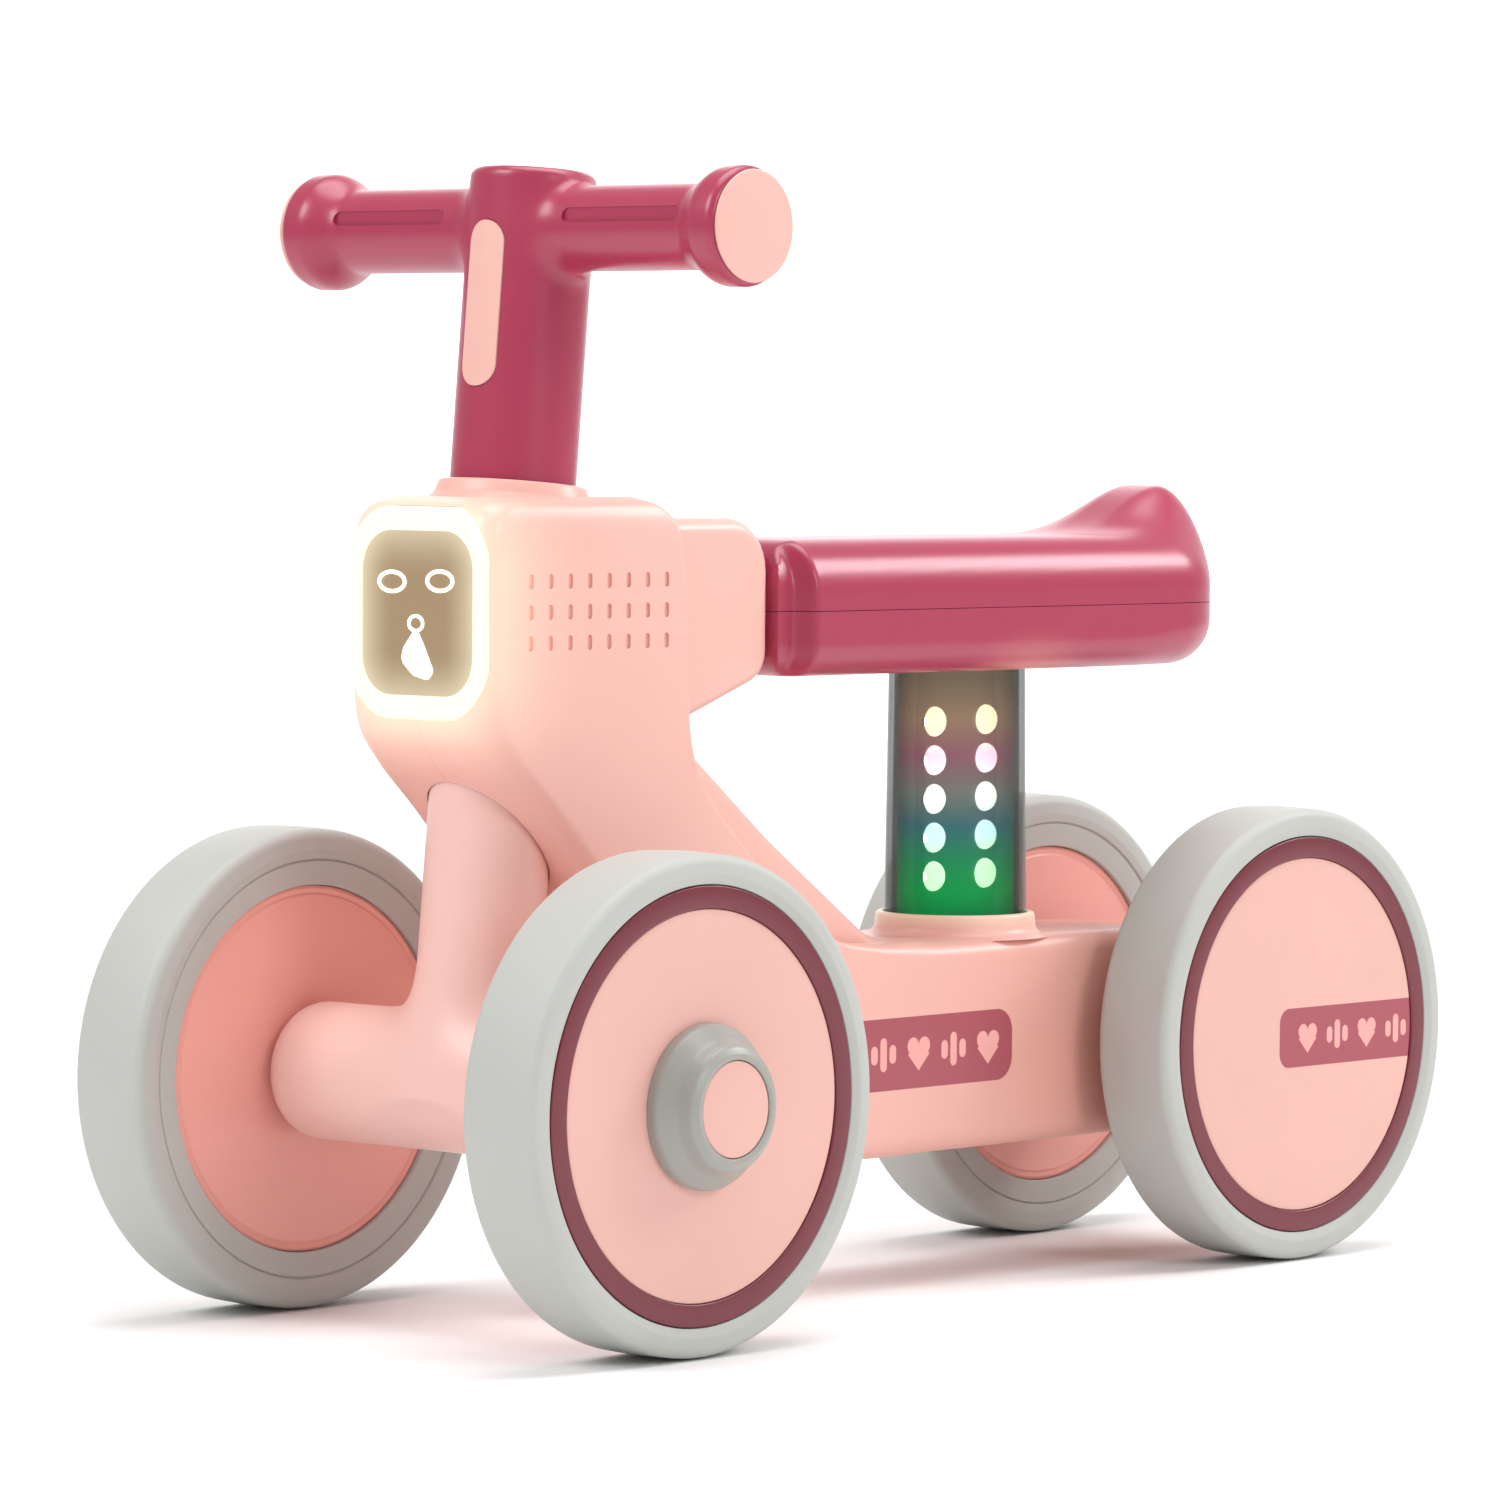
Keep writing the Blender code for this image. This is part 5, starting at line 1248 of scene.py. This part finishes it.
class BIKE_OT_post(bpy.types.Operator):
    """Smoked seat post with its glowing film, lens domes, board and foot collar"""
    bl_idname = "bike.post"
    bl_label = "Seat post"

    def execute(self, context):
        low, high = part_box("post_tube")
        centre = (low + high) / 2
        foot = (high.x - low.x) / 2
        top = foot - 1.0 * MM
        wall = 2 * MM
        tube = [(foot - wall, low.z), (foot, low.z), (top, high.z), (top - wall, high.z)]
        made = turned("post_sleeve", tube, 128, (0, centre.y, 0), 1, "Z")
        finish_piece(made, self.smoke(), "root", ["post_tube"], 40)
        self.board(centre.y, top - 3.9 * MM)
        self.film(centre.y, top - 3.2 * MM)
        self.domes(centre.y)
        self.collar(centre.y, foot)
        return {"FINISHED"}

    @staticmethod
    def board(y, half):
        """A dark board nearly as wide as the inside of the tube."""
        low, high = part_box("post_led_board")
        made = block("light_board", (low.x, y - half, low.z), (high.x, y + half, high.z))
        finish_piece(made, moulded("board_black", (0.012, 0.016, 0.014), 0.5, 0.2), "root",
                     ["post_led_board"])

    @staticmethod
    def smoke():
        """Smoked clear plastic that looks darker where the eye looks along its wall."""
        paint = Paint("smoked_clear", 0.22, Specular_IOR_Level=0.18)
        where = paint.place()[3]
        smoke = colours().smoke
        paint.set("Base Color", paint.mix(paint.noise(where, 30.0), tint(smoke, 0.9), tint(smoke, 1.1)))
        edge = paint.node("ShaderNodeLayerWeight", (), {"Blend": 0.5}).outputs["Facing"]
        paint.set("Alpha", 0.14 + 0.86 * Signal(paint, edge) ** 1.25)
        return paint

    @staticmethod
    def heights():
        low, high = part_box("led_strip_left")
        return low.z, high.z

    def glow_colour(self, paint, z):
        """The light's change of colour from the deck up to the seat."""
        start, end = self.heights()
        bottom, top = start - 12 * MM, end + 8 * MM
        share = (z - bottom) / (top - bottom)
        stops = [(0.0, (0.0, 0.13, 0.04)), (0.16, (0.0, 0.36, 0.07)), (0.27, (0.01, 0.30, 0.10)),
                 (0.42, (0.045, 0.17, 0.19)), (0.55, (0.20, 0.22, 0.19)), (0.70, (0.33, 0.13, 0.17)),
                 (0.84, (0.36, 0.23, 0.15)), (1.0, (0.20, 0.15, 0.10))]
        return paint.ramp(share.held(), stops)

    def film(self, y, radius):
        """A thin light-spreading film inside the tube."""
        low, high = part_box("post_led_board")
        start, end = low.z + 1 * MM, high.z + 3 * MM
        inner = radius - 0.3 * MM
        outline = [(inner, start), (radius, start), (radius, end), (inner, end)]
        made = turned("light_film", outline, 96, (0, y, 0), 1, "Z")
        paint = Paint("light_film", 0.6, Specular_IOR_Level=0.1)
        z = paint.place()[2]
        paint.set("Base Color", (0.01, 0.01, 0.01))
        paint.set("Emission Color", self.glow_colour(paint, z))
        paint.set("Emission Strength", 1.25)
        paint.set("Alpha", 0.68)
        finish_piece(made, paint, "root")

    def domes(self, y):
        """Two columns of lens domes on each face of the board."""
        start, end = self.heights()
        paint = Paint("lens_light", 0.25)
        z = paint.place()[2]
        share = ((z - start) / (end - start)).held()
        stops = [(0.0, (0.62, 1.0, 0.58)), (0.22, (0.70, 1.0, 0.62)), (0.35, (0.62, 0.93, 1.0)),
                 (0.50, (0.95, 0.97, 0.86)), (0.60, (1.0, 0.93, 0.90)), (0.72, (1.0, 0.70, 0.85)),
                 (0.84, (1.0, 0.90, 0.60)), (1.0, (1.0, 0.90, 0.55))]
        dome_colour = paint.ramp(share, stops)
        x = paint.place()[0]
        low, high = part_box("led_strip_left")
        raised = ((abs(x) - low.x - 1.25 * MM) / (0.25 * MM)).held()
        paint.set("Base Color", (0.03, 0.035, 0.03))
        paint.set("Emission Color", paint.mix(raised, BLACK, dome_colour))
        paint.set("Emission Strength", 15.0)
        centre = AXLE_HEIGHT + 79.16 * MM
        wide, tall, thick = 4.9 * MM, 3.4 * MM, 1.2 * MM
        columns, rows, pitch, row_pitch = 2, 5, 25.6 * MM, 12.58 * MM
        arc = [math.pi / 2 * i / 8 for i in range(8)]
        for side, word in ((1, "left"), (-1, "right")):
            low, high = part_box("led_strip_" + word)
            foot = min(abs(low.x), abs(high.x)) + thick
            dome = [(0, foot - 1 * MM), (wide, foot - 1 * MM)]
            dome += [(wide * math.cos(a), foot + tall * math.sin(a)) for a in arc] + [(0, foot + tall)]
            seed = turned("dome", dome, 28, (0, 0, 0), side)
            across, up = pitch * (columns - 1), row_pitch * (rows - 1)
            grid = repeated("domes_" + word, seed, across, up, columns, rows)
            moved(grid, (0, y - side * 1.2 * MM, centre))
            near, far = sorted((side * (foot - thick), side * foot))
            plate = block("plate", (near, low.y, low.z), (far, high.y, high.z))
            made = join(plate, grid)
            made.name = "lens_strip_" + word
            finish_piece(made, paint, "root", ["led_strip_" + word], 40)

    @staticmethod
    def collar(y, foot):
        low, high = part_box("post_collar")
        base = low.z - 1.2 * MM
        bore = foot + 0.2 * MM
        profile = filleted([
            (bore, base, 0), (foot + 8.0 * MM, base, 0), (foot + 3.2 * MM, base + 1.4 * MM, 3.5 * MM),
            (foot + 2.6 * MM, high.z, 1.6 * MM), (bore, high.z, 0.4 * MM)], 8)
        made = turned("foot_collar", profile, 128, (0, y, 0), 1, "Z")
        paint = moulded("foot_collar_pink", colours().pink, BODY_ROUGHNESS)
        z = paint.place()[2]
        # painted light: a green emission growing up the collar, for the post's lowest light falling on it
        painted_glow = ((z - low.z) / (high.z - low.z)).held() ** 1.5
        paint.set("Emission Color", paint.mix(painted_glow, BLACK, (0.30, 0.62, 0.30)))
        paint.set("Emission Strength", 0.28)
        finish_piece(made, paint, "root", ["post_collar"], 40)


class BIKE_OT_hidden(bpy.types.Operator):
    """Finishes for the pieces that keep their own solids"""
    bl_idname = "bike.hidden"
    bl_label = "Inner pieces"

    def execute(self, context):
        finishes = {
            "steel": metal("plated_steel", (0.60, 0.60, 0.58), 0.30),
            "circuit": moulded("board_green", (0.02, 0.10, 0.05), 0.5, 0.2),
            "battery_sleeve": moulded("cell_sleeve", (0.05, 0.05, 0.07), 0.3, 0.1),
            "grey_plastic": moulded("bush_grey", colours().hub, 0.45),
            "pink_plastic": moulded("plain_pink", colours().pink, 0.42),
            "rose_plastic": rose_plastic("plain_rose"),
        }
        slot_of = {part["node"]: part["material_slot"] for part in frame["record"]["subparts"]}
        for name, node in frame["nodes"].items():
            finish = finishes.get(slot_of[name])
            if finish:
                node.data.materials.clear()
                node.data.materials.append(finish.material)
        return {"FINISHED"}


class BIKE_OT_stage(bpy.types.Operator):
    """Pale floor, soft lights and the camera"""
    bl_idname = "bike.stage"
    bl_label = "Stage"

    def execute(self, context):
        self.floor()
        self.lights()
        self.camera()
        return {"FINISHED"}

    @staticmethod
    def floor():
        """A plain pale floor that curves up into the backdrop."""
        reach, rise, bend, arcs = 6.0, 5.0, 2.0, 16
        under = -0.2 * MM
        profile = [(-reach, under)]
        for step in range(arcs + 1):
            angle = math.pi / 2 * step / arcs
            profile.append((reach - bend + bend * math.sin(angle), bend - bend * math.cos(angle) + under))
        profile.append((reach, rise))
        turn = Matrix.Rotation(math.radians(42), 3, "Z")
        rings = [[turn @ Vector((x, y, z)) for y, z in profile] for x in (-reach, reach)]
        shape = bmesh.new()
        loops = [[shape.verts.new(point) for point in ring] for ring in rings]
        for i in range(len(profile) - 1):
            shape.faces.new((loops[0][i], loops[1][i], loops[1][i + 1], loops[0][i + 1]))
        mesh = bpy.data.meshes.new("floor")
        shape.to_mesh(mesh)
        shape.free()
        made = new_object("floor", mesh)
        mesh.shade_smooth()
        paint = Paint("pale_floor", 0.9)
        where = paint.place()[3]
        paint.set("Base Color", paint.mix(paint.noise(where, 4.0), (0.90, 0.90, 0.90), (0.92, 0.92, 0.92)))
        made.data.materials.append(paint.material)

    @staticmethod
    def lights():
        world = bpy.data.worlds.new("studio")
        bpy.context.scene.world = world
        world.use_nodes = True
        sky = world.node_tree.nodes["Background"].inputs
        sky["Color"].default_value = (1.0, 1.0, 1.0, 1.0)
        sky["Strength"].default_value = 0.45
        for name, place, size, power in LIGHTS:
            lamp = bpy.data.lights.new(name, "AREA")
            lamp.energy = power
            lamp.size = size
            made = bpy.data.objects.new(name, lamp)
            made.location = place
            aim = BACKDROP_MIDDLE if name == "backdrop" else BIKE_MIDDLE
            made.rotation_euler = (aim - Vector(place)).to_track_quat("-Z", "Y").to_euler()
            bpy.context.scene.collection.objects.link(made)

    @staticmethod
    def camera():
        """Left front view at the height of the head."""
        view = bpy.data.cameras.new("camera")
        view.lens = 170.8
        view.sensor_width = 36.0
        view.clip_end = 50.0
        made = bpy.data.objects.new("camera", view)
        made.location = CAMERA_PLACE
        azimuth, pitch, roll = (math.radians(turn) for turn in CAMERA_TURN)
        look = Matrix.Rotation(azimuth, 4, "Z") @ Matrix.Rotation(math.pi / 2 - pitch, 4, "X")
        made.matrix_world = Matrix.Translation(made.location) @ look @ Matrix.Rotation(roll, 4, "Z")
        bpy.context.scene.collection.objects.link(made)
        bpy.context.scene.camera = made
        bpy.context.scene.view_settings.view_transform = "Standard"


STEPS = (BIKE_OT_body, BIKE_OT_lamp, BIKE_OT_steering, BIKE_OT_wheels, BIKE_OT_seat, BIKE_OT_post,
         BIKE_OT_hidden, BIKE_OT_stage)


class BIKE_PT_panel(bpy.types.Panel):
    """Lists the bike's sizes, colours and building steps"""
    bl_label = "Mini balance bike"
    bl_space_type = "VIEW_3D"
    bl_region_type = "UI"
    bl_category = "Bike"

    def draw(self, context):
        for group in (sizes(), colours()):
            for key in group.__annotations__:
                self.layout.prop(group, key)
        for step in STEPS:
            self.layout.operator(step.bl_idname)


CLASSES = (BikeSizes, BikeColours, *STEPS, BIKE_PT_panel)


def register():
    for made in CLASSES:
        bpy.utils.register_class(made)
    bpy.types.Scene.bike_sizes = bpy.props.PointerProperty(type=BikeSizes)
    bpy.types.Scene.bike_colours = bpy.props.PointerProperty(type=BikeColours)


def unregister():
    del bpy.types.Scene.bike_colours
    del bpy.types.Scene.bike_sizes
    for made in reversed(CLASSES):
        bpy.utils.unregister_class(made)


def main():
    register()
    for step in STEPS:
        group, name = step.bl_idname.split(".")
        getattr(getattr(bpy.ops, group), name)()


if __name__ == "__main__":
    main()
